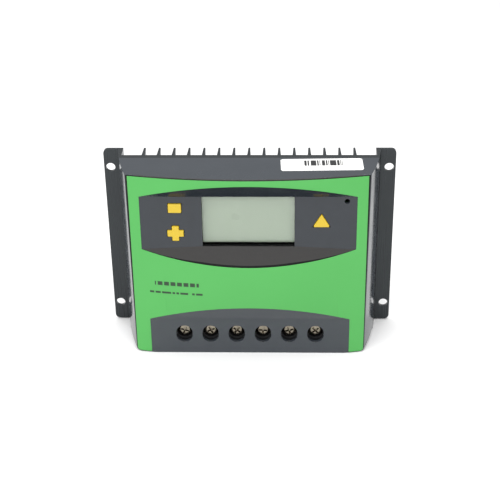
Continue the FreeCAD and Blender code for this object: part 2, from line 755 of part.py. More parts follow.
def make_film():
    """The green printed film on the convex front, cut out round both recesses."""
    outline = new_body("film_outline")
    profile = new_sketch(outline, "XZ_Plane", "plate_front")
    edge = "(front_half - film_inset)"
    high = "(top - film_inset)"
    low = "(-cover_bottom - film_inset)"
    corner = "(low_corner - film_inset)"
    draw(profile, [
        ("-" + edge, high),
        ("-" + edge, "-%s + %s" % (low, corner)),
        ("-%s + %s" % (edge, corner), "-" + low, "-%s * %s" % (corner, QUARTER)),
        ("%s - %s" % (edge, corner), "-" + low),
        (edge, "-%s + %s" % (low, corner), "-%s * %s" % (corner, QUARTER)),
        (edge, high),
    ])
    pad(outline, profile, "front_depth + 10")
    sheet = cut(front_cylinder("film_bar", "film_thickness"), [front_cylinder("film_core", "0")],
                "film_sheet")
    recesses = [lens_cutter("film_lens", "0", "film_rim"), terminal_cutter("film_terminal", "0")]
    node(cut(common([outline, sheet], "film_rough"), recesses, "front_film"), "front_film")


def make_label():
    """The white label on the top wall."""
    body = new_body("serial_label")
    profile = new_sketch(body, "XY_Plane")
    corner = "2.0"
    half = "(label_width / 2)"
    deep = "(label_depth / 2)"
    corners = [("-" + half, "-" + deep), (half, "-" + deep), (half, deep), ("-" + half, deep)]
    draw(profile, chamfered(corners, corner))
    pad(body, profile, "label_thickness")
    body.Placement = Placement(Vector(), Rotation(Vector(0, 0, 1), 1))
    bind(body, Placement__Rotation__Angle="-label_turn * 1deg")
    place(body, "side_end - label_width / 2 - 1.9", "plate_front + label_depth / 2 + 1.6", "top")
    node(body, "serial_label")


# ----------------------------------------------------------------------------- display and keys

def make_display():
    """Window, glass, light guide, the frame that holds them, and the pins to the board."""
    half, tall = "glass_half_width", "glass_half_height"
    level = ("lens_middle - %s", "lens_middle + %s")

    def slab(label, half_width, half_height, depth):
        return box(("-(%s)" % half_width, half_width), depth,
                   (level[0] % ("(%s)" % half_height), level[1] % ("(%s)" % half_height)), label)

    window = slab("display_window", half + " + 1.6", tall + " + 1.0", ("window_back", "window_front"))
    node(window, "display_window")
    node(slab("lcd_glass", half, tall, ("glass_back", "glass_front")), "lcd_glass")
    light_guide = slab("lcd_backlight", half + " - 1", tall + " - 3", ("backlight_back", "glass_back"))
    node(light_guide, "lcd_backlight")
    outer = slab("holder_outer", "holder_half_width", "holder_half_height",
                 ("upper_board_front", "window_back"))
    inner = slab("holder_inner", half + " + running", tall + " + running",
                 ("upper_board_front - 1", "window_back + 1"))
    node(cut(outer, [inner], "lcd_holder"), "lcd_holder")
    pin_depth = ("upper_board_back - 0.8", "glass_back")
    pins = [rod(side, PIN_LEVEL, pin_depth, "0.25", "pin") for side in PIN_SIDES]
    node(together(pins, "lcd_pins"), "lcd_pins")


def make_key(name):
    """A yellow key cap: the cap, a lip behind the panel that keeps it in, and a stem."""
    outline, side, level = KEYS[name]
    front = "lens_face - (%s) * lean + key_proud" % level
    body = new_body("key_" + name)
    cap = new_sketch(body, "XZ_Plane", "lip_front - 0.1")
    draw(cap, outline())
    feature = pad(body, cap, "%s - lip_front + 0.1" % front)
    face = number(front)
    rounded = round_edges(body, feature, "0.35", lambda middle, edge: abs(-middle.y - face) < 1e-3)
    body.Tip = rounded
    lip = new_sketch(body, "XZ_Plane", "lip_back")
    draw(lip, outline("key_lip"))
    body.Tip = pad(body, lip, "key_lip")
    stem = new_sketch(body, "XZ_Plane", "plunger_front")
    circle(stem, "0", "0", "2.2")
    body.Tip = pad(body, stem, "lip_back - plunger_front + 0.1")
    place(body, side, "0", level)
    node(body, "key_" + name)

    plunger = rod(side, level, ("switch_front - 1.2", "plunger_front"), "plunger_diameter / 2", "plunger")
    node(plunger, "switch_plunger_" + name)


def make_switches():
    """The three tact switch housings on the upper board."""
    housings = []
    for name in KEYS:
        _, side, level = KEYS[name]
        block = centred(side, level, "switch_size", "switch_size", ("upper_board_front", "switch_front"))
        bore_depth = ("switch_front - 2", "switch_front + 1")
        bore = rod(side, level, bore_depth, "plunger_diameter / 2 + running", "bore")
        housings.append(cut(block, [bore], "switch"))
    node(together(housings, "switch_housings"), "switch_housings")


def make_led():
    """A round indicator light on two legs, behind its hole in the panel."""
    base = "upper_board_front + 1.2"
    tip = "lens_top_depth - wall - 1.2"
    lens = rod("led_side", "led_level", (base, tip + " - led_diameter / 2"), "led_diameter / 2", "led_lens")
    dome = doc.addObject("Part::Sphere", "led_dome")
    bind(dome, Radius="led_diameter / 2")
    place(dome, "led_side", tip + " - led_diameter / 2", "led_level")
    rim = rod("led_side", "led_level", (base, base + " + 1"), "led_diameter / 2 + 0.35", "led_rim")
    leg_depth = ("upper_board_back - 0.8", base)
    legs = [centred("led_side %+.2f" % shift, "led_level", "0.5", "0.5", leg_depth, "led_leg")
            for shift in (-1.27, 1.27)]
    node(fuse([lens, dome, rim] + legs, "indicator_led"), "indicator_led")


# ----------------------------------------------------------------------------- terminals

def make_terminal_block():
    """The black block with six chambers: a wire mouth below, a screw well in front."""
    block = box(("-block_half", "block_half"), ("board_front", "block_front"), ("block_low", "block_high"))
    tools = []
    for index in POLES:
        side = pole_side(index)
        tools += [
            centred(side, "terminal_axis", "cage_width + 3 * play", "cage_length + 3 * play",
                    ("board_front + block_floor", "head_seat - block_web"), "chamber"),
            box((side + " - 5.6", side + " + 5.6"), ("wire_back - 0.5", "nut_back"),
                ("block_low - 1", "terminal_axis"), "wire_mouth"),
            box((side + " - tab_width / 2 - play", side + " + tab_width / 2 + play"),
                ("tab_back - play", "tab_front + play"), ("terminal_axis", "block_high + 1"), "tab_slot"),
            rod(side, "terminal_axis", ("head_seat - block_web - 1", "head_seat + 1"),
                "shank_diameter / 2 + play", "shank_hole"),
            rod(side, "terminal_axis", ("head_seat - running", "block_front + 1"),
                "head_diameter / 2 + 0.5", "well"),
        ]
    node(cut(block, tools, "terminal_block"), "terminal_block")


def make_terminal_screw(index):
    """A pan-head screw with a cross recess."""
    body = new_body("terminal_screw_%d" % (index + 1))
    profile = new_sketch(body, "YZ_Plane")
    head, shank = "head_diameter / 2", "shank_diameter / 2"
    draw(profile, [
        ("-nut_back", "0"),
        ("-nut_back", shank + " - 0.6"),
        ("-nut_back - 0.6", shank),
        ("-head_seat", shank),
        ("-head_seat", head),
        ("-head_seat - head_height * 0.45", head),
        ("-head_front", head + " * 0.62", "head_diameter * 0.055"),
        ("-head_front", "0"),
    ])
    turned = body.newObject("PartDesign::Revolution", body.Name + "_turned")
    turned.Profile = profile
    turned.ReferenceAxis = (profile, ["H_Axis"])
    turned.Angle = 360
    body.Tip = turned
    cross_cut = new_sketch(body, "XZ_Plane", "head_front")
    arm, far = "(head_diameter * 0.065)", "(head_diameter * 0.3)"
    draw(cross_cut, [
        ("-" + arm, "-" + far), (arm, "-" + far), (arm, "-" + arm), (far, "-" + arm),
        (far, arm), (arm, arm), (arm, far), ("-" + arm, far),
        ("-" + arm, arm), ("-" + far, arm), ("-" + far, "-" + arm), ("-" + arm, "-" + arm),
    ])
    body.Tip = pocket(body, cross_cut, "head_height * 0.6")
    place(body, pole_side(index), "0", "terminal_axis")
    node(body, "terminal_screw_%d" % (index + 1))


def make_terminal_cage(index):
    """A rising clamp cage: a square steel tube across the wire, threaded in front."""
    side = pole_side(index)
    outer = centred(side, "terminal_axis", "cage_width", "cage_length", ("cage_back", "nut_front"))
    inner = centred(side, "terminal_axis", "cage_width - 2 * cage_wall", "cage_length + 2",
                    ("wire_back", "nut_back"), "cage_inner")
    thread_depth = ("nut_back - 1", "nut_front + 1")
    thread = rod(side, "terminal_axis", thread_depth, "shank_diameter / 2 + running", "thread")
    node(cut(outer, [inner, thread], "terminal_cage_%d" % (index + 1)), "terminal_cage_%d" % (index + 1))


def make_contacts():
    """Six copper tabs, each bent down into the power board."""
    strips = []
    for index in POLES:
        side = (pole_side(index) + " - tab_width / 2", pole_side(index) + " + tab_width / 2")
        end = "block_high + 1 + tab_thickness"
        strips.append(fuse([
            box(side, ("tab_back", "tab_front"), ("terminal_axis - cage_length / 2 + 0.3", end), "tab"),
            box(side, ("board_back - 0.8", "tab_front"), ("block_high + 1", end), "tab_leg"),
        ], "contact"))
    node(together(strips, "terminal_contacts"), "terminal_contacts")


# ----------------------------------------------------------------------------- boards and parts

def make_power_board():
    """The power board and its stand-offs, screws and insulating sheet."""
    board = box(("-board_half", "board_half"), ("board_back", "board_front"), ("board_low", "board_high"))
    tools = [rod(side, level, ("board_back - 1", "board_front + 1"), "screw_radius + play", "board_hole")
             for side, level in STANDOFFS]
    tab_level = ("block_high + 1 - play", "block_high + 1 + tab_thickness + play")
    tools += [box((pole_side(index) + " - tab_width / 2 - play", pole_side(index) + " + tab_width / 2 + play"),
                  ("board_back - 1", "board_front + 1"), tab_level, "tab_hole")
              for index in POLES]
    tools += [centred(side, LEAD_LEVEL, "1.1", "1.1", ("board_back - 1", "board_front + 1"), "lead_hole")
              for side in LEAD_SIDES]
    tools += [centred(side, level, "0.9", "0.9", ("board_back - 1", "board_front + 1"), "header_hole")
              for side, level in HEADER_PINS]
    node(cut(board, tools, "power_board"), "power_board")

    sheet = box(("-board_half", "board_half"), ("plate_front", "plate_front + 0.3"),
                ("board_low", "board_high - 4"), "sheet")
    holes = [rod(side, level, ("plate_front - 1", "plate_front + 1"), "standoff_radius + play", "sheet_hole")
             for side, level in STANDOFFS]
    node(cut(sheet, holes, "insulating_sheet"), "insulating_sheet")

    pillars, screws = [], []
    for side, level in STANDOFFS:
        pillar = rod(side, level, ("plate_front", "board_back"), "standoff_radius", "pillar")
        bore = rod(side, level, ("plate_front - 1", "board_back + 1"), "screw_radius + play", "pillar_bore")
        pillars.append(cut(pillar, [bore], "standoff"))
        screws.append(small_screw(side, level, "board_front", "plate_front - tapped_depth + 0.3"))
    node(together(pillars, "board_standoffs"), "board_standoffs")
    node(together(screws, "board_screws"), "board_screws")


def small_screw(side, level, seat, tip, forwards=True):
    """An M3 screw along the depth. Its head is in front of the seat, or behind it."""
    head = (seat, "%s + screw_head_height" % seat) if forwards else ("%s - screw_head_height" % seat, seat)
    shank = (tip, seat) if forwards else (seat, tip)
    socket = ("%s + screw_head_height * 0.5" % seat, "%s + screw_head_height + 1" % seat)
    if not forwards:
        socket = ("%s - screw_head_height - 1" % seat, "%s - screw_head_height * 0.5" % seat)
    blank = fuse([rod(side, level, head, "screw_head / 2", "screw_head"),
                  rod(side, level, shank, "screw_radius", "screw_shank")], "screw_blank")
    arms = [centred(side, level, "screw_head * 0.55", "0.7", socket, "recess"),
            centred(side, level, "0.7", "screw_head * 0.55", socket, "recess")]
    return cut(blank, arms, "screw")


LEAD_SIDES = [side + shift for side in TRANSISTOR_SIDES for shift in (-2.54, 0, 2.54)]
LEAD_LEVEL = "board_high - 2"
PIN_PITCH = 2.54
PIN_SIDES = [PIN_PITCH * (index - 9.5) for index in range(20)]
PIN_LEVEL = "lens_middle - glass_half_height + 1.4"
HEADER_SIDE = "-22"
HEADER_LEVEL = PIN_LEVEL + " + 3.8"
HEADER_PINS = [("%s + %.2f" % (HEADER_SIDE, PIN_PITCH * column),
                "%s + %.2f" % (HEADER_LEVEL, PIN_PITCH * rank))
               for column in range(5) for rank in range(2)]


def make_transistors():
    """Eight power transistors lying on the plate, on insulating pads, under four clamp bars."""
    pads, tabs, bodies = [], [], []
    foot = TRANSISTOR_FOOT
    for side in TRANSISTOR_SIDES:
        span = ("%.2f - 5.1" % side, "%.2f + 5.1" % side)
        wide = ("%.2f - 6.2" % side, "%.2f + 6.2" % side)
        pads.append(box(wide, ("plate_front", "plate_front + 0.3"), (foot + " - 1", foot + " + 16.5"), "pad"))
        tab = box(span, ("plate_front + 0.3", "plate_front + 1.6"), (foot, foot + " + 15.5"), "tab")
        eye = rod("%.2f" % side, foot + " + 12.8", ("plate_front", "plate_front + 2"), "1.8", "eye")
        tabs.append(cut(tab, [eye], "transistor_tab"))
        body_depth = ("plate_front + 1.6", "plate_front + 4.8")
        bodies.append(box(span, body_depth, (foot, foot + " + 9.2"), "moulding"))
    node(together(pads, "transistor_pads"), "transistor_pads")
    node(together(tabs, "transistor_tabs"), "transistor_tabs")
    node(together(bodies, "transistor_bodies"), "transistor_bodies")

    pieces = []
    for side in LEAD_SIDES:
        span = ("%.2f - 0.4" % side, "%.2f + 0.4" % side)
        lead_depth = ("plate_front + 1.8", "plate_front + 2.6")
        pieces.append(box(span, lead_depth, (LEAD_LEVEL + " - 0.4", foot), "lead"))
        pieces.append(box(span, ("plate_front + 2", "board_front + 1.3"),
                          (LEAD_LEVEL + " - 0.4", LEAD_LEVEL + " + 0.4"), "lead_end"))
    node(fuse(pieces, "transistor_leads"), "transistor_leads")

    bars, screws = [], []
    for side in CLAMP_SIDES:
        place_along = "%.2f" % side
        bar = centred(place_along, CLAMP_LEVEL, "24", "6", ("plate_front + 4.8", CLAMP_FRONT))
        hole_depth = ("plate_front + 4", CLAMP_FRONT + " + 1")
        hole = rod(place_along, CLAMP_LEVEL, hole_depth, "screw_radius + play", "bar_hole")
        bars.append(cut(bar, [hole], "clamp_bar"))
        screws.append(small_screw(place_along, CLAMP_LEVEL, CLAMP_FRONT, "plate_front - tapped_depth + 0.3"))
    node(together(bars, "clamp_bars"), "clamp_bars")
    node(together(screws, "clamp_screws"), "clamp_screws")


def make_board_parts():
    """What stands on the power board."""
    cans = []
    vent_depth = ("board_front + 19.6", "board_front + 21")
    for side in (20, 36, 52):
        can = rod("%d" % side, PART_LEVEL, ("board_front", "board_front + 20"), "6.25", "can")
        vent = [centred("%d" % side, PART_LEVEL, "9", "0.5", vent_depth),
                centred("%d" % side, PART_LEVEL, "0.5", "9", vent_depth)]
        waist = doc.addObject("Part::Torus", "waist")
        waist.Placement = Placement(Vector(), Rotation(Vector(1, 0, 0), 90))
        bind(waist, Radius1="6.25 + 0.3", Radius2="0.8")
        place(waist, "%d" % side, "board_front + 17", "block_high + 26")
        cans.append(cut(can, vent + [waist], "capacitor"))
    node(together(cans, "capacitors"), "capacitors")

    holders, fuses = [], []
    blade_depth = ("board_front + 3.2", "board_front + 7.2")
    for side in (-56, -40, -24):
        level = PART_LEVEL
        block = centred("%d" % side, level, "7", "20", ("board_front", "board_front + 9"), "holder")
        slot = centred("%d" % side, level, "4.4", "17.6", ("board_front + 3", "board_front + 10"), "slot")
        holders.append(cut(block, [slot], "fuse_holder"))
        blade = fuse([
            centred("%d" % side, level, "5", "19", ("board_front + 9.2", "board_front + 20"), "fuse_grip"),
            centred("%d" % side, level, "4", "16.8", ("board_front + 7", "board_front + 9.4"), "fuse_waist"),
            centred("%d" % side, level + " - 5.6", "0.8", "5", blade_depth, "blade"),
            centred("%d" % side, level + " + 5.6", "0.8", "5", blade_depth, "blade"),
        ], "fuse")
        fuses.append(blade)
    node(together(holders, "fuse_holders"), "fuse_holders")
    node(together(fuses, "blade_fuses"), "blade_fuses")

    loops = []
    for side in (-10, -4, 2):
        bend = doc.addObject("Part::Torus", "shunt_bend")
        bend.Placement = Placement(Vector(), Rotation(Vector(0, 1, 0), 90))
        bind(bend, Radius1="5", Radius2="0.8")
        place(bend, "%d" % side, "board_front + 4", "block_high + 26")
        arch = common([bend, box(("%d - 2" % side, "%d + 2" % side), ("board_front + 4", "board_front + 12"),
                                 ("block_high + 16", "block_high + 36"), "upper_half")], "arch")
        legs = [rod("%d" % side, PART_LEVEL + " %+d" % shift, ("board_front", "board_front + 4"), "0.8")
                for shift in (-5, 5)]
        loops.append(fuse([arch] + legs, "shunt"))
    node(together(loops, "current_shunts"), "current_shunts")

    chips = []
    for side, level in ((-50, 50), (-30, 46), (20, 48), (44, 46), (54, 52)):
        chips.append(centred("%d" % side, "block_high + %d" % level, "5", "4",
                             ("board_front", "board_front + 1.6"), "chip"))
    for index in range(8):
        chips.append(centred("%d" % (-14 + 4 * index), "block_high + 44", "1.6", "3.2",
                             ("board_front", "board_front + 0.6"), "resistor"))
    node(together(chips, "surface_parts"), "surface_parts")


def make_header():
    """The plug and socket that join the two boards, above the display's row of pins."""
    level = (HEADER_LEVEL + " - 1.6", HEADER_LEVEL + " + %.2f" % (PIN_PITCH + 1.6))
    side = (HEADER_SIDE + " - 1.6", HEADER_SIDE + " + %.2f" % (4 * PIN_PITCH + 1.6))
    base = box(side, ("board_front", "board_front + 2.5"), level, "header_base")
    pins = [centred(x, z, "0.64", "0.64", ("board_back - 0.8", "upper_board_back - 2"), "header_pin")
            for x, z in HEADER_PINS]
    node(fuse([base] + pins, "board_header"), "board_header")
    block = box(side, ("board_front + 2.6", "upper_board_back"), level, "socket_block")
    bores = [centred(x, z, "0.84", "0.84", ("board_front", "upper_board_back - 1.5"), "socket_bore")
             for x, z in HEADER_PINS]
    node(cut(block, bores, "board_socket"), "board_socket")


def make_upper_board():
    """The board behind the display, its four screws and its processor."""
    board = box(("-(lens_half - 4)", "lens_half - 4"), ("upper_board_back", "upper_board_front"),
                ("lens_bottom - 5.9", "lens_top + 6.6"), "upper_board")
    depth = ("upper_board_back - 1", "upper_board_front + 1")
    tools = [rod(side, level, depth, "post_thread + play", "post_hole") for side, level in POSTS]
    tools += [rod(side, PIN_LEVEL, depth, "0.4", "pin_hole") for side in PIN_SIDES]
    tools += [centred("led_side %+.2f" % shift, "led_level", "0.8", "0.8", depth, "leg_hole")
              for shift in (-1.27, 1.27)]
    node(cut(board, tools, "display_board"), "display_board")

    screws = []
    for side, level in POSTS:
        head = rod(side, level, ("upper_board_back - 1.6", "upper_board_back"), "2.3", "post_head")
        shank = rod(side, level, ("upper_board_back - 0.1", "upper_board_front + 5"), "post_thread",
                    "post_shank")
        slot = centred(side, level, "0.6", "3", ("upper_board_back - 2", "upper_board_back - 0.9"))
        screws.append(cut(fuse([head, shank], "post_blank"), [slot], "post_screw"))
    node(together(screws, "display_screws"), "display_screws")

    chip_depth = ("upper_board_back - 1.5", "upper_board_back")
    middle_side, middle_level = "20", "lens_middle"
    parts = [centred(middle_side, middle_level, "10", "10", chip_depth, "package")]
    for index in range(8):
        shift = "%+.2f" % ((index - 3.5) * 1.1)
        foot = ("upper_board_back - 0.4", "upper_board_back")
        parts.append(centred(middle_side + " " + shift, middle_level, "0.5", "12.4", foot, "lead_pair"))
        parts.append(centred(middle_side, middle_level + " " + shift, "12.4", "0.5", foot, "lead_pair"))
    node(fuse(parts, "microcontroller"), "microcontroller")


def make_cover_screws():
    """Four screws from behind, between fins and legs, into the cover's bosses."""
    screws = [small_screw(side, level, "fin_length", "plate_front + 9", forwards=False)
              for side, level in BOSSES]
    node(together(screws, "cover_screws"), "cover_screws")


# ----------------------------------------------------------------------------- build and write

make_heat_sink()
make_cover()
make_film()
make_label()
make_display()
for key_name in KEYS:
    make_key(key_name)
make_switches()
make_led()
make_terminal_block()
for pole in POLES:
    make_terminal_screw(pole)
    make_terminal_cage(pole)
make_contacts()
make_power_board()
make_transistors()
make_board_parts()
make_header()
make_upper_board()
make_cover_screws()
doc.recompute()

for item in doc.Objects:
    if "Invalid" in item.State or "Error" in item.State:
        raise ValueError("%s (%s) failed" % (item.Name, item.Label))
for label, item in nodes.items():
    if item.Shape.isNull() or not item.Shape.isValid():
        raise ValueError("%s has no valid shape" % label)

os.makedirs("parts", exist_ok=True)
for label, item in nodes.items():
    item.Shape.exportStep("parts/%s.step" % label)
print("%d nodes" % len(nodes))
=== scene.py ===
# %% [markdown]
# # A wall-mounted solar charge controller
# The design is already settled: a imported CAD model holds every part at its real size, in metres.
# This file gives that model its looks. Each step first says what the real thing is, how it could be
# made in Blender, and why one way was chosen.

# %% Load the fixed frame
import json
import math

import bmesh
import bpy
from mathutils import Matrix, Vector


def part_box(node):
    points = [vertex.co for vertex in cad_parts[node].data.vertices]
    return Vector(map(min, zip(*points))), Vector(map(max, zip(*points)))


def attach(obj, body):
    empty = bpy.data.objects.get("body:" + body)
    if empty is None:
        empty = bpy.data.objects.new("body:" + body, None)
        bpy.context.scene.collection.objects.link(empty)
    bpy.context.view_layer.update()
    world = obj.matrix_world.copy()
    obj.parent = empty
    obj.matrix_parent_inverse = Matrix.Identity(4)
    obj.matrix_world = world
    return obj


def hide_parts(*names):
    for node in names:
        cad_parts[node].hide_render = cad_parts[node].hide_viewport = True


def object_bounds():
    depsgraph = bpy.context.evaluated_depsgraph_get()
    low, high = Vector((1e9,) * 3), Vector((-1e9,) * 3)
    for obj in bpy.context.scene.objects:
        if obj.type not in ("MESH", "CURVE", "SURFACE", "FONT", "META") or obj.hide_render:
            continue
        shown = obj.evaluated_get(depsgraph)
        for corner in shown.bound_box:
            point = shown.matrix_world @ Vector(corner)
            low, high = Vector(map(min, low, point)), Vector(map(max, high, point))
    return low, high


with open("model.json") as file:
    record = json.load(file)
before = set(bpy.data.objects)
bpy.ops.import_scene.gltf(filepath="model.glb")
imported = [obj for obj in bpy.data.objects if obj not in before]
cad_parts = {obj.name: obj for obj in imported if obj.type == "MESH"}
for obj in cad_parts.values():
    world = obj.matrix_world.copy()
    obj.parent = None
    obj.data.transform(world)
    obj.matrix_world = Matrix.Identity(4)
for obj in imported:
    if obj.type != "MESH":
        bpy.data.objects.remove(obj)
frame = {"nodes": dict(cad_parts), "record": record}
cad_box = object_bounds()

MM = 0.001

# %% [markdown]
# ## Colour and material helpers
# A colour picked on a screen is an sRGB value, and the shader works with linear light, so one
# function turns a hex value into the number that the shader needs. A second one adds a node with
# its settings and its links, which keeps every material short. Pattern sizes are real sizes in
# millimetres: Object coordinates are in metres, so a spacing becomes a scale by dividing.

# %% Colour and node helpers
def linear(hex_text, alpha=1.0):
    """sRGB hex such as '4fb455' as linear RGBA."""
    values = [int(hex_text[i:i + 2], 16) / 255 for i in (0, 2, 4)]
    return tuple(v / 12.92 if v <= 0.04045 else ((v + 0.055) / 1.055) ** 2.4 for v in values) + (alpha,)


def add(tree, kind, inputs=None, **settings):
    """Adds a node. An input is a value, or an output socket to link from."""
    node = tree.nodes.new(kind)
    for name, value in settings.items():
        setattr(node, name, value)
    for socket, value in (inputs or {}).items():
        if isinstance(value, bpy.types.NodeSocket):
            tree.links.new(value, node.inputs[socket])
        else:
            node.inputs[socket].default_value = value
    return node


def per(spacing_mm):
    """The texture scale that repeats a pattern about every so many millimetres."""
    return 1 / (spacing_mm * MM)


def new_material(name, colour, **shader_inputs):
    """A material with one Principled shader. Returns it, its tree and the shader."""
    material = bpy.data.materials.new(name)
    material.use_nodes = True
    tree = material.node_tree
    shader = tree.nodes["Principled BSDF"]
    shader.inputs["Base Color"].default_value = linear(colour)
    for socket, value in shader_inputs.items():
        shader.inputs[socket.replace("_", " ")].default_value = value
    return material, tree, shader


def noise(tree, spacing_mm, detail=2.0, stretch=(1, 1, 1), seed=0.0):
    """Cloudy noise on Object coordinates; stretch under 1 draws it out along that axis."""
    place = add(tree, "ShaderNodeTexCoord").outputs["Object"]
    drawn = add(tree, "ShaderNodeMapping",
                {"Vector": place, "Scale": stretch, "Location": (seed, seed, seed)}).outputs["Vector"]
    return add(tree, "ShaderNodeTexNoise",
               {"Vector": drawn, "Scale": per(spacing_mm), "Detail": detail}).outputs["Fac"]


PATTERN_LOW, PATTERN_HIGH = 0.3, 0.7  # nearly all values of a noise lie between these two


def between(tree, factor, low, high):
    """Maps a pattern to a range of values."""
    return add(tree, "ShaderNodeMapRange",
               {"Value": factor, "From Min": PATTERN_LOW, "From Max": PATTERN_HIGH,
                "To Min": low, "To Max": high}).outputs["Result"]


def tint(tree, factor, low_hex, high_hex):
    """Mixes two colours by a pattern."""
    return add(tree, "ShaderNodeMix", {"Factor": factor, "A": linear(low_hex), "B": linear(high_hex)},
               data_type="RGBA").outputs["Result"]


def bump(tree, shader, height, depth_mm, strength=1.0):
    """Raises the surface by a pattern, up to a real depth."""
    node = add(tree, "ShaderNodeBump", {"Height": height, "Distance": depth_mm * MM, "Strength": strength})
    tree.links.new(node.outputs["Normal"], shader.inputs["Normal"])


print("white is", linear("ffffff")[:3])

# %% [markdown]
# ## Camera and studio
# The object is seen from about thirty degrees above its front, from almost straight ahead, with a
# long lens, so its sides hardly converge. The camera is placed by its distance and angles round a
# point near the middle of the object, and leans by under a degree, as a hand-held one does.
# The set is a plain white floor under an even white sky, with four broad softboxes. It could be lit
# by one strong lamp, but glossy dark plastic shows mostly what it mirrors, so a wide white set is
# what draws its edges.

# %% Camera
CAMERA_LENS = 89.35
CAMERA_ELEVATION = math.radians(29.63)
CAMERA_AZIMUTH = math.radians(2.0)
CAMERA_ROLL = math.radians(-0.88)
CAMERA_DISTANCE = 0.810
CAMERA_TARGET = Vector((0.0001, -0.020, -0.0002))

camera = bpy.data.objects.new("camera", bpy.data.cameras.new("camera"))
bpy.context.scene.collection.objects.link(camera)
camera.data.lens = CAMERA_LENS
camera.data.clip_start = 0.01
backwards = Vector((math.sin(CAMERA_AZIMUTH) * math.cos(CAMERA_ELEVATION),
                    -math.cos(CAMERA_AZIMUTH) * math.cos(CAMERA_ELEVATION), math.sin(CAMERA_ELEVATION)))
across = Vector((math.cos(CAMERA_AZIMUTH), math.sin(CAMERA_AZIMUTH), 0))
upright = Matrix((across, backwards.cross(across), backwards)).transposed().to_4x4()
camera.matrix_world = (Matrix.Translation(CAMERA_TARGET + backwards * CAMERA_DISTANCE)
                       @ upright @ Matrix.Rotation(CAMERA_ROLL, 4, "Z"))
bpy.context.scene.camera = camera
print("camera at", tuple(round(v, 3) for v in camera.location))

# %% Floor, sky and softboxes
SKY_STRENGTH = 0.55
FLOOR_HALF_WIDTH = 6.0

scene = bpy.context.scene
scene.view_settings.view_transform = "Standard"
world = bpy.data.worlds.new("white_sky")
world.use_nodes = True
world.node_tree.nodes["Background"].inputs["Color"].default_value = (1, 1, 1, 1)
world.node_tree.nodes["Background"].inputs["Strength"].default_value = SKY_STRENGTH
scene.world = world

floor_mesh = bmesh.new()
bmesh.ops.create_grid(floor_mesh, x_segments=1, y_segments=1, size=FLOOR_HALF_WIDTH)
bmesh.ops.translate(floor_mesh, verts=floor_mesh.verts, vec=(0, 0, cad_box[0].z))
floor_data = bpy.data.meshes.new("floor")
floor_mesh.to_mesh(floor_data)
floor_mesh.free()
floor = bpy.data.objects.new("floor", floor_data)
scene.collection.objects.link(floor)
floor_data.materials.append(new_material("matt_white_floor", "f6f6f6", Roughness=0.9)[0])


def softbox(name, place, target, size, power):
    """A square area light that faces a point."""
    light = bpy.data.lights.new(name, "AREA")
    light.size = size
    light.energy = power
    lamp = bpy.data.objects.new(name, light)
    scene.collection.objects.link(lamp)
    lamp.location = place
    lamp.rotation_euler = (Vector(target) - Vector(place)).to_track_quat("-Z", "Y").to_euler()


# Name, place, the point it faces, the length of its side in metres, and its power in watts.
SOFTBOXES = (
    ("softbox_above", (0.05, 0.25, 1.3), (0, 0.2, 0), 1.3, 9),
    ("softbox_front", (0.0, -0.42, 0.72), (0, -0.1, -0.06), 0.55, 5),
    ("softbox_left", (-1.1, -0.9, 0.6), (0, 0, 0), 0.7, 4),
    ("softbox_behind", (-1.1, 0.9, 0.8), (0, 0.1, 0), 0.8, 5))
for softbox_row in SOFTBOXES:
    softbox(*softbox_row)

# %% [markdown]
# ## Turning CAD solids into finished meshes
# A CAD node arrives as loose triangles with knife-sharp edges. Real moulded and extruded parts have
# small rounded edges, and those catch the light. A copy of the node is merged, its flat areas are
# joined into single faces, its creases are marked, and a Bevel modifier rounds them by a
# fraction of a millimetre. The copy stands for the CAD node and rides on the same body. Modelling
# every piece afresh would also work, but then each one could drift away from the settled design.

# %% The refining helper
MERGE_DISTANCE = 0.002  # mm between corners that are really one corner
FLAT_DEGREES = 0.4      # faces that meet at less than this are one flat face


def link_piece(mesh, name, body, materials):
    """Makes an object of a mesh, gives it its materials and lets it ride on a body."""
    piece = bpy.data.objects.new(name, mesh)
    scene.collection.objects.link(piece)
    for material in materials:
        mesh.materials.append(material)
    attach(piece, body)
    return piece


def body_of_node(node):
    """The body that a CAD node is part of."""
    return next(name for name, members in frame["record"]["behaviour"]["bodies"].items() if node in members)


def refined(node, name, materials, edge_mm=0.25, crease_degrees=28, choose=None, segments=2):
    """A merged copy of a CAD node with rounded edges. choose(centre, normal) picks a material slot."""
    bm = bmesh.new()
    bm.from_mesh(frame["nodes"][node].data)
    bmesh.ops.remove_doubles(bm, verts=bm.verts, dist=MERGE_DISTANCE * MM)
    bmesh.ops.dissolve_limit(bm, angle_limit=math.radians(FLAT_DEGREES), verts=bm.verts, edges=bm.edges,
                             use_dissolve_boundaries=False)
    for face in bm.faces:
        face.smooth = True
        face.material_index = choose(face.calc_center_median(), face.normal) if choose else 0
    for edge in bm.edges:
        if len(edge.link_faces) == 2:
            edge.smooth = edge.calc_face_angle(0) < math.radians(crease_degrees)
    mesh = bpy.data.meshes.new(name)
    bm.to_mesh(mesh)
    bm.free()
    piece = link_piece(mesh, name, body_of_node(node), materials)
    if edge_mm:
        bevel = piece.modifiers.new("rounded_edges", "BEVEL")
        bevel.width = edge_mm * MM
        bevel.segments = segments
        bevel.limit_method = "ANGLE"
        bevel.angle_limit = math.radians(crease_degrees)
        bevel.harden_normals = True
    weighted = piece.modifiers.new("flat_faces_stay_flat", "WEIGHTED_NORMAL")
    weighted.keep_sharp = True
    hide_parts(node)
    print(name, "faces", len(mesh.polygons))
    return piece


print("nodes to finish:", len(frame["nodes"]))

# %% [markdown]
# ## The heat sink: black anodised extrusion
# The heat sink is pushed through a die, so it has faint straight lines along its length, and it is
# anodised black, which leaves a satin surface that still has some metal in it. Noise that is
# stretched a hundredfold along Z gives the die lines, in the roughness and in a very shallow bump.

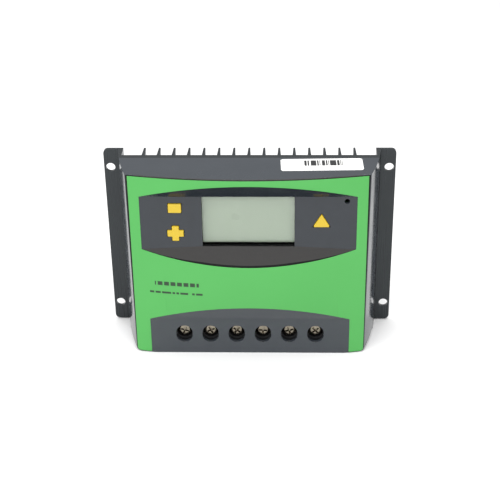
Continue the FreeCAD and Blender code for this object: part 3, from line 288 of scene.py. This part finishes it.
# %% Heat sink
def black_anodised_aluminium():
    """Black with a satin sheen, and faint straight lines that the die left."""
    material, tree, shader = new_material("black_anodised_aluminium", "24292c", Metallic=0.3, Roughness=0.28)
    lines = noise(tree, 0.7, 3.0, stretch=(1, 1, 0.01))
    clouds = noise(tree, 25, 3.0)
    tree.links.new(between(tree, lines, 0.25, 0.33), shader.inputs["Roughness"])
    tree.links.new(tint(tree, clouds, "22272a", "2b3033"), shader.inputs["Base Color"])
    bump(tree, shader, lines, 0.005, 0.4)
    return material


refined("heat_sink", "heat_sink_extrusion", [black_anodised_aluminium()], edge_mm=0.3)

# %% [markdown]
# ## The cover: moulded ABS in three finishes, and painted shade
# The mould is polished where it forms the walls, so they mirror the white room. The slope under the
# display was grained to hide finger marks. The panel round it is glossier and a shade darker.
# The front under the film and the edges of the display's opening are painted almost black. This is
# painted shade, partly the real dark rim, and it shows only as thin lines. The moulding could be cut
# into four pieces, but it is one piece on the real object, so it stays one here: each face gets its
# finish from the direction it looks in and from its place.

# %% Cover materials
GRAIN_SPACING = 0.45


def polished_abs():
    """Smooth dark plastic that mirrors the room, slightly cloudy."""
    material, tree, shader = new_material("polished_dark_abs", "33383e", Roughness=0.14, IOR=1.53)
    clouds = noise(tree, 12, 4.0)
    tree.links.new(between(tree, clouds, 0.10, 0.18), shader.inputs["Roughness"])
    tree.links.new(tint(tree, clouds, "32373d", "393e44"), shader.inputs["Base Color"])
    bump(tree, shader, noise(tree, 2.5, 2.0), 0.006, 0.3)
    return material


def shade_black_abs():
    """Painted shade: almost black, for the front under the film and the edges of the display's opening."""
    material, tree, shader = new_material("painted_shade_black_abs", "08090a", Roughness=0.5, Specular_IOR_Level=0.2)
    clouds = noise(tree, 6, 3.0)
    tree.links.new(tint(tree, clouds, "070809", "0b0c0e"), shader.inputs["Base Color"])
    tree.links.new(between(tree, clouds, 0.45, 0.55), shader.inputs["Roughness"])
    return material


def darker_panel_abs():
    """The panel round the display: the same plastic, glossier and a shade darker."""
    material, tree, shader = new_material("darker_display_panel", "252a30", Roughness=0.1, IOR=1.5)
    clouds = noise(tree, 10, 4.0)
    tree.links.new(tint(tree, clouds, "22272d", "292e35"), shader.inputs["Base Color"])
    tree.links.new(between(tree, clouds, 0.07, 0.14), shader.inputs["Roughness"])
    bump(tree, shader, noise(tree, 3.0, 2.0), 0.004, 0.25)
    return material


def grained_abs():
    """Matt dark plastic with a rough spark grain."""
    material, tree, shader = new_material("grained_dark_abs", "373636", Roughness=0.6, IOR=1.53)
    # Real spark grain is about 0.2 mm; it is drawn over twice as coarse so that it shows.
    grain = noise(tree, GRAIN_SPACING, 3.0)
    tree.links.new(between(tree, grain, 0.5, 0.75), shader.inputs["Roughness"])
    tree.links.new(tint(tree, grain, "141313", "302e2d"), shader.inputs["Base Color"])
    bump(tree, shader, grain, 0.12, 0.8)
    return material


print("grain drawn every", GRAIN_SPACING, "mm")

# %% Cover finishes, face by face
POLISHED, GRAINED, SHADE_BLACK, DARKER_PANEL = 0, 1, 2, 3
FRONT_RADIUS = 0.365                     # the front's curve, in metres
FRONT_DEPTH = 0.04805                    # the front's distance from the wall at its middle
FRONT_LEAN = math.tan(math.radians(1.17))
FRONT_TOLERANCE = 0.6 * MM
OPENING_TOLERANCE = 0.1 * MM
RECESS_HALF_WIDTH = 70 * MM
RECESS_LOWER_END = 2 * MM
PANEL_DEPTH = 36 * MM                    # the display panel stands further from the wall than this
TO_THE_FRONT = -0.9                      # normal.y of a face that looks straight forwards, or less
PARTLY_FORWARDS = -0.2
SIDEWAYS = 0.1
UPWARDS = 0.3                            # normal.z of a slope that looks up, or more
window_low, window_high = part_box("display_window")


def cover_finish(centre, normal):
    """Painted shade, almost black, on the front under the film and in the display's opening, grained
    on the slope under the display, darker on the panel round it, and polished everywhere else."""
    front = FRONT_DEPTH - centre.x ** 2 / (2 * FRONT_RADIUS) - centre.z * FRONT_LEAN
    if normal.y < TO_THE_FRONT and abs(-centre.y - front) < FRONT_TOLERANCE:
        return SHADE_BLACK
    in_opening = (abs(centre.x) < window_high.x and window_low.z < centre.z < window_high.z
                  and abs(normal.y) < SIDEWAYS and -centre.y > -window_low.y - OPENING_TOLERANCE)
    if in_opening:
        return SHADE_BLACK
    in_recess = (abs(centre.x) < RECESS_HALF_WIDTH and centre.z > RECESS_LOWER_END
                 and normal.y < PARTLY_FORWARDS)
    if in_recess and normal.z > UPWARDS:
        return GRAINED
    return DARKER_PANEL if in_recess and -centre.y > PANEL_DEPTH else POLISHED


cover_materials = [polished_abs(), grained_abs(), shade_black_abs(), darker_panel_abs()]
refined("front_cover", "moulded_cover", cover_materials, edge_mm=0.22, choose=cover_finish)

# %% [markdown]
# ## The front film
# The green front is a printed plastic film glued to the cover: satin, evenly coloured, with a
# faint orange-peel. It has its own thickness, so its cut edge shows round the display recess.
# Its dark print could be separate thin pieces, but ink has no thickness worth modelling, so it is
# part of the colour. A row of bold blocks stands over a row of dashes, with no letters in either.

# %% Helpers for printed patterns
def math_node(tree, operation, *values):
    """One step of arithmetic in a node tree."""
    return add(tree, "ShaderNodeMath", dict(enumerate(values)), operation=operation).outputs["Value"]


def inside(tree, value, low_mm, high_mm):
    """1 where a coordinate lies in a range, and 0 outside it."""
    middle, half = (low_mm + high_mm) / 2 * MM, (high_mm - low_mm) / 2 * MM
    return math_node(tree, "COMPARE", value, middle, half)


def dashes(tree, value, pitch_mm, share, seed=0.0):
    """Random steps of one width: 1 for a share of them, and 0 for the rest."""
    step = math_node(tree, "FLOOR", math_node(tree, "MULTIPLY_ADD", value, per(pitch_mm), seed))
    chance = add(tree, "ShaderNodeTexWhiteNoise", {"W": step}, noise_dimensions="1D").outputs["Value"]
    return math_node(tree, "LESS_THAN", chance, share)


def axes(tree):
    """The three Object coordinates."""
    place = add(tree, "ShaderNodeTexCoord").outputs["Object"]
    return add(tree, "ShaderNodeSeparateXYZ", {"Vector": place}).outputs


print("a pattern with a 4 mm pitch has scale", per(4))

# %% Green film
BLOCK_PITCH = 4.2
BLOCK_GAP = 1.0
BLOCKS_X, BLOCKS_Z = (-60.5, -32.0), (-12.4, -9.6)
DASH_PITCH = 0.85
DASH_SHARE = 0.68
DASHES_X, DASHES_Z = (-64, -27.5), (-18.4, -16.9)


def printed_film():
    """Satin green plastic with a faint orange-peel, and dark ink in it at the left."""
    material, tree, shader = new_material("printed_satin_film", "4cb14e", Roughness=0.38, IOR=1.5)
    peel = noise(tree, 1.2, 2.0)
    clouds = noise(tree, 60, 2.0)
    tree.links.new(between(tree, peel, 0.34, 0.42), shader.inputs["Roughness"])
    bump(tree, shader, peel, 0.01, 0.3)

    # The metre that is added keeps x positive. The row's two end blocks are cut short.
    x, _, z = axes(tree)
    bold = math_node(tree, "PINGPONG", math_node(tree, "ADD", x, 1.0), BLOCK_PITCH / 2 * MM)
    bold = math_node(tree, "GREATER_THAN", bold, BLOCK_GAP / 2 * MM)
    bold = math_node(tree, "MULTIPLY", bold, inside(tree, z, *BLOCKS_Z))
    bold = math_node(tree, "MULTIPLY", bold, inside(tree, x, *BLOCKS_X))
    strokes = dashes(tree, x, DASH_PITCH, DASH_SHARE, 3.0)
    fine = math_node(tree, "MULTIPLY", strokes, inside(tree, z, *DASHES_Z))
    fine = math_node(tree, "MULTIPLY", fine, inside(tree, x, *DASHES_X))
    ink = math_node(tree, "MAXIMUM", bold, fine)
    green = tint(tree, clouds, "49a84d", "50af55")
    tree.links.new(add(tree, "ShaderNodeMix", {"Factor": ink, "A": green, "B": linear("1d3a20")},
                       data_type="RGBA").outputs["Result"], shader.inputs["Base Color"])
    return material


refined("front_film", "green_front_film", [printed_film()], edge_mm=0.08, segments=1)

# %% [markdown]
# ## Keys
# The keys are moulded in yellow ABS and only slightly glossy. Their caps stand a little above the
# panel, and the same bevel as on the cover gives them a soft rim. Their outlines are already in the
# design, so they only need the refining helper and a finish.

# %% Keys
def yellow_abs():
    """Warm yellow plastic with a low, slightly uneven gloss."""
    material, tree, shader = new_material("yellow_abs", "d0ae2c", Roughness=0.42, IOR=1.53)
    clouds = noise(tree, 3, 3.0)
    tree.links.new(tint(tree, clouds, "cdad1e", "d8b92c"), shader.inputs["Base Color"])
    tree.links.new(between(tree, clouds, 0.36, 0.48), shader.inputs["Roughness"])
    return material


key_plastic = yellow_abs()
for key in ("rectangle", "plus", "triangle"):
    refined("key_" + key, "key_cap_" + key, [key_plastic], edge_mm=0.22)

# %% [markdown]
# ## Black plastic, the switches and the terminal block
# Housings and blocks are moulded in black nylon with a dull, slightly grained skin. The same
# material serves the frame of the display, whose lower ledge is part of the black line under the
# glass, and the small packages on the boards. One loop finishes them all, because they differ only
# in how wide their edges are rounded.

# %% Black plastic
def black_nylon():
    """Dull black plastic with a fine grain."""
    material, tree, shader = new_material("black_nylon", "17181a", Roughness=0.5, IOR=1.53)
    grain = noise(tree, 0.5, 3.0)
    tree.links.new(tint(tree, grain, "131416", "1e1f21"), shader.inputs["Base Color"])
    tree.links.new(between(tree, grain, 0.42, 0.6), shader.inputs["Roughness"])
    bump(tree, shader, grain, 0.03, 0.5)
    return material


nylon = black_nylon()
for node, piece, edge in (
        ("terminal_block", "terminal_housing", 0.2), ("lcd_holder", "display_frame", 0.2),
        ("switch_housings", "tact_switch_housings", 0.15),
        ("switch_plunger_rectangle", "plunger_rectangle", 0.15),
        ("switch_plunger_plus", "plunger_plus", 0.15), ("switch_plunger_triangle", "plunger_triangle", 0.15),
        ("fuse_holders", "fuse_sockets", 0.15), ("transistor_bodies", "transistor_mouldings", 0.15),
        ("microcontroller", "controller_chip", 0.05), ("surface_parts", "small_parts", 0.05),
        ("board_header", "header", 0.1), ("board_socket", "socket", 0.1)):
    refined(node, piece, [nylon], edge_mm=edge)

# %% [markdown]
# ## The display
# Three layers, as in a real one. A clear acrylic window lies in the opening, the liquid-crystal
# glass behind it is grey-green while it is off, and a milky light guide stands behind that. The
# glass lies a few millimetres deep, so the opening's edge throws a soft shade on it. The glass could
# be painted straight on the window, but then that depth, and the shade, would be gone.

# %% Window, glass and light guide
LINE_PITCH = 0.7
LINE_WIDTH = 0.08
LINE_INK = 0.3
# The height, in millimetres, of the black band of painted shade along the glass's lower edge.
SHADE_BAND_HEIGHT = 2.4


def clear_acrylic():
    """Clear and glossy, with the faintest marks of wiping."""
    material, tree, shader = new_material("clear_acrylic", "ffffff", Roughness=0.04, IOR=1.49)
    shader.inputs["Transmission Weight"].default_value = 1.0
    wipe_marks = noise(tree, 9, 3.0, stretch=(1, 1, 0.2))
    tree.links.new(tint(tree, wipe_marks, "f9fbf9", "ffffff"), shader.inputs["Base Color"])
    return material


def unlit_liquid_crystal():
    """Pale grey-green, ruled with faint lines, with a black band of painted shade low down."""
    material, tree, shader = new_material("unlit_liquid_crystal", "c4d6be", Roughness=0.3, IOR=1.5)
    haze = noise(tree, 30, 2.0)
    _, _, z = axes(tree)
    rows = math_node(tree, "PINGPONG", math_node(tree, "ADD", z, 1.0), LINE_PITCH / 2 * MM)
    thin = math_node(tree, "LESS_THAN", rows, LINE_WIDTH / 2 * MM)
    lines = math_node(tree, "MULTIPLY", thin, LINE_INK)
    base = tint(tree, haze, "c0d2ba", "c8d8c2")
    lined = add(tree, "ShaderNodeMix", {"Factor": lines, "A": base, "B": linear("b4c5ae")},
                data_type="RGBA").outputs["Result"]
    # The black band is a guess, and it is painted shade: with the frame's ledge it makes the dark line under
    # the display.
    shade_band = math_node(tree, "LESS_THAN", z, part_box("lcd_glass")[0].z + SHADE_BAND_HEIGHT * MM)
    tree.links.new(add(tree, "ShaderNodeMix", {"Factor": shade_band, "A": lined, "B": linear("0c0d0c")},
                       data_type="RGBA").outputs["Result"], shader.inputs["Base Color"])
    tree.links.new(between(tree, haze, 0.25, 0.35), shader.inputs["Roughness"])
    return material


def milky_acrylic():
    """White plastic that light goes some way into."""
    material, tree, shader = new_material("milky_acrylic", "e9ebe6", Roughness=0.5)
    shader.inputs["Subsurface Weight"].default_value = 0.3
    shader.inputs["Subsurface Radius"].default_value = (0.003, 0.003, 0.003)
    haze = noise(tree, 4, 3.0)
    tree.links.new(tint(tree, haze, "e2e5df", "eff1ec"), shader.inputs["Base Color"])
    tree.links.new(between(tree, haze, 0.4, 0.6), shader.inputs["Roughness"])
    return material


refined("display_window", "clear_window", [clear_acrylic()], edge_mm=0)
refined("lcd_glass", "display_glass", [unlit_liquid_crystal()], edge_mm=0.1)
refined("lcd_backlight", "light_guide_sheet", [milky_acrylic()], edge_mm=0.1)

# %% [markdown]
# ## Metals
# The terminal screws have dark nickel plating, which is smooth enough to glint: each shows a bright
# arc and a dark half. The cages and the small screws are zinc plated, which is paler and more
# cloudy. The leads are tinned, and the pillars are turned from brass. Each could have its own
# function, but all of them are metal with uneven gloss and faint scratches, so one function makes
# them from a few values.

# %% Metals
def metal(name, low_hex, high_hex, smooth, rough, cloud_mm=1.5, scratch_mm=0.01):
    """A plated or drawn metal: cloudy colour, uneven roughness and faint scratches."""
    material, tree, shader = new_material(name, low_hex, Metallic=1.0)
    clouds = noise(tree, cloud_mm, 3.0)
    tree.links.new(tint(tree, clouds, low_hex, high_hex), shader.inputs["Base Color"])
    tree.links.new(between(tree, clouds, smooth, rough), shader.inputs["Roughness"])
    bump(tree, shader, noise(tree, 0.4, 3.0, stretch=(1, 0.2, 1)), scratch_mm, 0.4)
    return material


dark_nickel = metal("dark_nickel_plating", "6f675c", "a39a8b", 0.1, 0.26)
zinc = metal("zinc_plating", "a5a5a2", "c4c4c0", 0.28, 0.42)
tin = metal("bright_tin", "bdbdba", "d6d6d2", 0.22, 0.36)
tinned_copper = metal("tinned_copper", "c0aa94", "d8c9b6", 0.25, 0.4)
brass = metal("turned_brass", "b98f45", "d0a95c", 0.2, 0.34)
zinc_steel = metal("zinc_plated_steel", "9fa0a0", "bfc0c0", 0.26, 0.4)
manganin = metal("manganin_wire", "8a6d57", "a88a70", 0.3, 0.45, 3.0)

metals = (dark_nickel, zinc, tin, tinned_copper, brass, zinc_steel, manganin)
print("metals:", [metal_finish.name for metal_finish in metals])

# %% [markdown]
# ## The terminal screws
# A real screw is turned and its thread is rolled. The design's screw could be refined as the other
# pieces are, but its domed head and recess have many small faces, and a bevel breaks them. So the
# screw is made as it is on the lathe: half a section, spun through a full circle, gives the head,
# the shank and the ridges of the thread. Two crossed bars are then taken out of the head, and the
# lips of that recess are rounded. The ridges are rings and not a helix, which nobody can tell here.
# Each recess points its own way, as in screws that were driven home by hand.

# %% The screw's half section, in millimetres
SCREW_HEAD_RADIUS = 4.6
SCREW_HEAD_HEIGHT = 3.0
SCREW_SHANK_RADIUS = 2.5
SCREW_NECK = 0.5
SCREW_TIP = 0.5
FLAT_RADIUS = 2.2
DOME_WIDTH = 2.4
DOME_DROP = 1.5
DOME_STEPS = 6
THREAD_DEPTH = 0.42
THREAD_PITCH = 0.8


def screw_profile(length):
    """Half section of a pan-head screw, as (radius, distance behind the front of the head)."""
    points = [(0, 0), (FLAT_RADIUS, 0.0)]
    for step in range(1, DOME_STEPS + 1):
        angle = math.radians(90 / DOME_STEPS * step)
        points.append((FLAT_RADIUS + DOME_WIDTH * math.sin(angle), DOME_DROP - DOME_DROP * math.cos(angle)))
    points += [(SCREW_HEAD_RADIUS, SCREW_HEAD_HEIGHT), (SCREW_SHANK_RADIUS, SCREW_HEAD_HEIGHT)]
    at = SCREW_HEAD_HEIGHT + SCREW_NECK
    while at + THREAD_PITCH < length - SCREW_TIP:
        points += [(SCREW_SHANK_RADIUS, at), (SCREW_SHANK_RADIUS - THREAD_DEPTH, at + THREAD_PITCH / 2)]
        at += THREAD_PITCH
    return points + [(SCREW_SHANK_RADIUS, at), (SCREW_SHANK_RADIUS - SCREW_TIP, length), (0, length)]


print("points in a 20 mm screw's section:", len(screw_profile(20)))

# %% A turned screw with a cross recess
SPIN_STEPS = 48
CROSS_LENGTH = 5.4
CROSS_WIDTH = 1.2
CROSS_HEIGHT = 2.8       # the bar stands out of the head by 0.8 and goes 2.0 into it
CROSS_MIDDLE = 0.6
LIP_ROUNDING = 0.12
LIP_DEPTH = 1.0          # only edges nearer to the front than this are lips
LIP_ANGLE = 0.6          # radians
SMOOTH_DEGREES = 35
RECESS_TURNS = (20, 64, 38, 5, 75, 50)


def loose_object(bm, name):
    """Turns a bmesh into an object that is only used while a shape is being made."""
    mesh = bpy.data.meshes.new(name)
    bm.to_mesh(mesh)
    bm.free()
    item = bpy.data.objects.new(name, mesh)
    scene.collection.objects.link(item)
    return item


def screw_mesh(node, turn_degrees):
    """A turned screw with a rounded cross recess, in the place of the design's screw."""
    low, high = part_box(node)
    x, z, front = (low.x + high.x) / 2, (low.z + high.z) / 2, low.y
    blank = bmesh.new()
    points = [blank.verts.new((x + radius * MM, front + back * MM, z))
              for radius, back in screw_profile((high.y - low.y) / MM)]
    edges = [blank.edges.new(pair) for pair in zip(points, points[1:])]
    bmesh.ops.spin(blank, geom=points + edges, cent=(x, 0, z), axis=(0, 1, 0), angle=math.tau,
                   steps=SPIN_STEPS, use_merge=True)
    bmesh.ops.remove_doubles(blank, verts=blank.verts, dist=0.001 * MM)
    bmesh.ops.recalc_face_normals(blank, faces=blank.faces)
    screw = loose_object(blank, "screw_blank")
    cross = bmesh.new()
    for turn in (turn_degrees, turn_degrees + 90):
        bmesh.ops.create_cube(cross, size=1, matrix=Matrix.Translation((x, front + CROSS_MIDDLE * MM, z))
                              @ Matrix.Rotation(math.radians(turn), 4, "Y")
                              @ Matrix.Diagonal((CROSS_LENGTH * MM, CROSS_HEIGHT * MM, CROSS_WIDTH * MM, 1)))
    cutter = loose_object(cross, "cross_cutter")
    cut = screw.modifiers.new("cross", "BOOLEAN")
    cut.operation = "DIFFERENCE"
    cut.solver = "EXACT"
    cut.use_self = True
    cut.object = cutter
    bpy.context.view_layer.update()
    shaped = screw.evaluated_get(bpy.context.evaluated_depsgraph_get())
    bm = bmesh.new()
    bm.from_mesh(shaped.to_mesh())
    for item in (screw, cutter):
        bpy.data.objects.remove(item)
    lip = [edge for edge in bm.edges if len(edge.link_faces) == 2 and edge.calc_face_angle(0) > LIP_ANGLE
           and all(vert.co.y < front + LIP_DEPTH * MM for vert in edge.verts)]
    bmesh.ops.bevel(bm, geom=lip, offset=LIP_ROUNDING * MM, offset_type="OFFSET", segments=2, profile=0.5,
                    affect="EDGES", clamp_overlap=True, material=-1)
    for face in bm.faces:
        face.smooth = True
    for edge in bm.edges:
        edge.smooth = len(edge.link_faces) == 2 and edge.calc_face_angle(0) < math.radians(SMOOTH_DEGREES)
    mesh = bpy.data.meshes.new(node + "_turned")
    bm.to_mesh(mesh)
    bm.free()
    return mesh


print("recesses point to", RECESS_TURNS, "degrees")

# %% [markdown]
# ## Terminals, fixings and the transistors' metal
# A cage rises round each wire as its screw is turned. The cages, the contacts, the other screws and
# the transistors' clamps, plates and leads are cut, pressed or turned from metal, with small
# rounded edges. Only the four screws in the back can be seen, and those are small, so the refining
# helper does for all but the terminal screws.

# %% Terminal screws, cages and the other metal pieces
for number, turn in enumerate(RECESS_TURNS, 1):
    node = "terminal_screw_%d" % number
    screw = link_piece(screw_mesh(node, turn), "clamp_screw_%d" % number, body_of_node(node), [dark_nickel])
    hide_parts(node)
    print("clamp_screw_%d" % number, "faces", len(screw.data.polygons))
    refined("terminal_cage_%d" % number, "clamp_cage_%d" % number, [zinc], edge_mm=0.2)
for node, piece, material in (
        ("terminal_contacts", "contact_tabs", tinned_copper), ("cover_screws", "rear_screws", zinc_steel),
        ("board_screws", "power_board_screws", zinc_steel),
        ("display_screws", "upper_board_screws", zinc_steel),
        ("clamp_screws", "transistor_clamp_screws", zinc_steel),
        ("clamp_bars", "transistor_clamps", zinc_steel),
        ("board_standoffs", "brass_pillars", brass), ("transistor_tabs", "transistor_plates", tin),
        ("transistor_leads", "transistor_legs", tin), ("lcd_pins", "display_pins", tin),
        ("current_shunts", "shunt_wires", manganin)):
    refined(node, piece, [material], edge_mm=0.1)

# %% [markdown]
# ## Indicator light
# A small round light sits well behind its hole. While it is off, its tinted resin looks almost
# black. It could be a plain black disc, but resin lets a little light in, as the real one does.

# %% Light
def tinted_resin():
    """Dark red clear resin, very smooth."""
    material, tree, shader = new_material("tinted_resin", "5a1414", Roughness=0.08, IOR=1.5)
    shader.inputs["Transmission Weight"].default_value = 0.6
    swirl = noise(tree, 1.0, 2.0)
    tree.links.new(tint(tree, swirl, "521212", "661818"), shader.inputs["Base Color"])
    tree.links.new(between(tree, swirl, 0.05, 0.12), shader.inputs["Roughness"])
    return material


refined("indicator_led", "indicator_light", [tinted_resin()], edge_mm=0)

# %% [markdown]
# ## The label on the top wall
# A white paper label with a clear coat. Its print is plain: a block of upright bars of several
# widths, and two rows of pale dashes under it. Modelled bars would be hundreds of slivers, so the
# pattern comes from a coordinate that is cut into steps, where each step is inked by chance. The
# label is turned a little, and so is its pattern.

# %% Label
LABEL_MIDDLE_X = 45.9
LABEL_MIDDLE_Y = -25.25
LABEL_TURN = math.radians(1.6)
BAR_PITCH = 0.5
LABEL_DASH_PITCH = 0.6
LABEL_DASH_INK = 0.45
BARS_X, BARS_Y = (33.6, 58.9), (-26.8, -19.2)
UPPER_DASHES_Y, LOWER_DASHES_Y, LABEL_DASHES_X = (-29.2, -28.0), (-31.6, -30.4), (27, 66)


def printed_label():
    """White coated paper with bars and dashes in its colour."""
    material, tree, shader = new_material("coated_white_paper", "f1f1ef", Roughness=0.45)
    place = add(tree, "ShaderNodeTexCoord").outputs["Object"]
    middle = (LABEL_MIDDLE_X * MM, LABEL_MIDDLE_Y * MM, 0)
    turned = add(tree, "ShaderNodeVectorRotate", {"Vector": place, "Center": middle, "Angle": -LABEL_TURN},
                 rotation_type="Z_AXIS").outputs["Vector"]
    x, y, _ = add(tree, "ShaderNodeSeparateXYZ", {"Vector": turned}).outputs
    bars = math_node(tree, "MULTIPLY", dashes(tree, x, BAR_PITCH, 0.62, 17.0), inside(tree, y, *BARS_Y))
    bars = math_node(tree, "MULTIPLY", bars, inside(tree, x, *BARS_X))
    upper = dashes(tree, x, LABEL_DASH_PITCH, 0.6, 5.0)
    upper = math_node(tree, "MULTIPLY", upper, inside(tree, y, *UPPER_DASHES_Y))
    lower = dashes(tree, x, LABEL_DASH_PITCH, 0.55, 9.0)
    lower = math_node(tree, "MULTIPLY", lower, inside(tree, y, *LOWER_DASHES_Y))
    rows = math_node(tree, "MAXIMUM", upper, lower)
    rows = math_node(tree, "MULTIPLY", rows, inside(tree, x, *LABEL_DASHES_X))
    ink = math_node(tree, "MAXIMUM", bars, math_node(tree, "MULTIPLY", rows, LABEL_DASH_INK))
    fibres = noise(tree, 0.3, 3.0)
    paper = tint(tree, fibres, "eeeeec", "f4f4f2")
    tree.links.new(add(tree, "ShaderNodeMix", {"Factor": ink, "A": paper, "B": linear("222224")},
                       data_type="RGBA").outputs["Result"], shader.inputs["Base Color"])
    tree.links.new(between(tree, fibres, 0.4, 0.5), shader.inputs["Roughness"])
    bump(tree, shader, fibres, 0.008, 0.4)
    return material


refined("serial_label", "paper_label", [printed_label()], edge_mm=0)

# %% [markdown]
# ## Inside: boards, pads, capacitors and fuses
# These are out of sight behind the cover, and finished all the same. The boards have a green
# solder mask with the tracks of the copper standing through it as a paler pattern. Tracks could be
# drawn one by one, but a pattern of diamond-shaped cells is enough behind a cover.

# %% Inner materials
CELL_SIZE = 3.0
TRACK_HEIGHT = 0.035


def solder_mask():
    """Glossy green coating over slightly raised tracks."""
    material, tree, shader = new_material("green_solder_mask", "0f5a2c", Roughness=0.3, IOR=1.5)
    place = add(tree, "ShaderNodeTexCoord").outputs["Object"]
    flat = add(tree, "ShaderNodeVectorMath", {0: place, 1: (1, 0, 1)}, operation="MULTIPLY").outputs["Vector"]
    cells = add(tree, "ShaderNodeTexVoronoi", {"Vector": flat, "Scale": per(CELL_SIZE)}, distance="MANHATTAN",
                feature="F1").outputs["Distance"]
    tracks = math_node(tree, "LESS_THAN", math_node(tree, "PINGPONG", cells, 0.12), 0.05)
    tree.links.new(tint(tree, tracks, "0d4f27", "1c7a3f"), shader.inputs["Base Color"])
    bump(tree, shader, tracks, TRACK_HEIGHT, 0.7)
    return material


def plain(name, low_hex, high_hex, smooth, rough, cloud_mm, depth_mm):
    """A plastic or rubber with a slightly uneven colour, gloss and surface."""
    material, tree, shader = new_material(name, low_hex)
    clouds = noise(tree, cloud_mm, 3.0)
    tree.links.new(tint(tree, clouds, low_hex, high_hex), shader.inputs["Base Color"])
    tree.links.new(between(tree, clouds, smooth, rough), shader.inputs["Roughness"])
    bump(tree, shader, clouds, depth_mm, 0.4)
    return material


board_mask = solder_mask()
silicone = plain("grey_silicone_pad", "71767a", "80858a", 0.65, 0.8, 0.6, 0.03)
print("boards and pads have their materials")

# %% Inner pieces
sleeve = plain("dark_blue_sleeve", "1a2130", "222b3d", 0.22, 0.32, 5, 0.02)
fuse_plastic = plain("orange_fuse_plastic", "d4631c", "e07328", 0.2, 0.3, 2, 0.01)
for node, piece, material in (
        ("power_board", "power_circuit_board", board_mask),
        ("display_board", "display_circuit_board", board_mask),
        ("insulating_sheet", "silicone_sheet", silicone), ("transistor_pads", "silicone_pads", silicone),
        ("capacitors", "electrolytic_capacitors", sleeve), ("blade_fuses", "fuses", fuse_plastic)):
    refined(node, piece, [material], edge_mm=0.1)
print("materials:", len(bpy.data.materials))
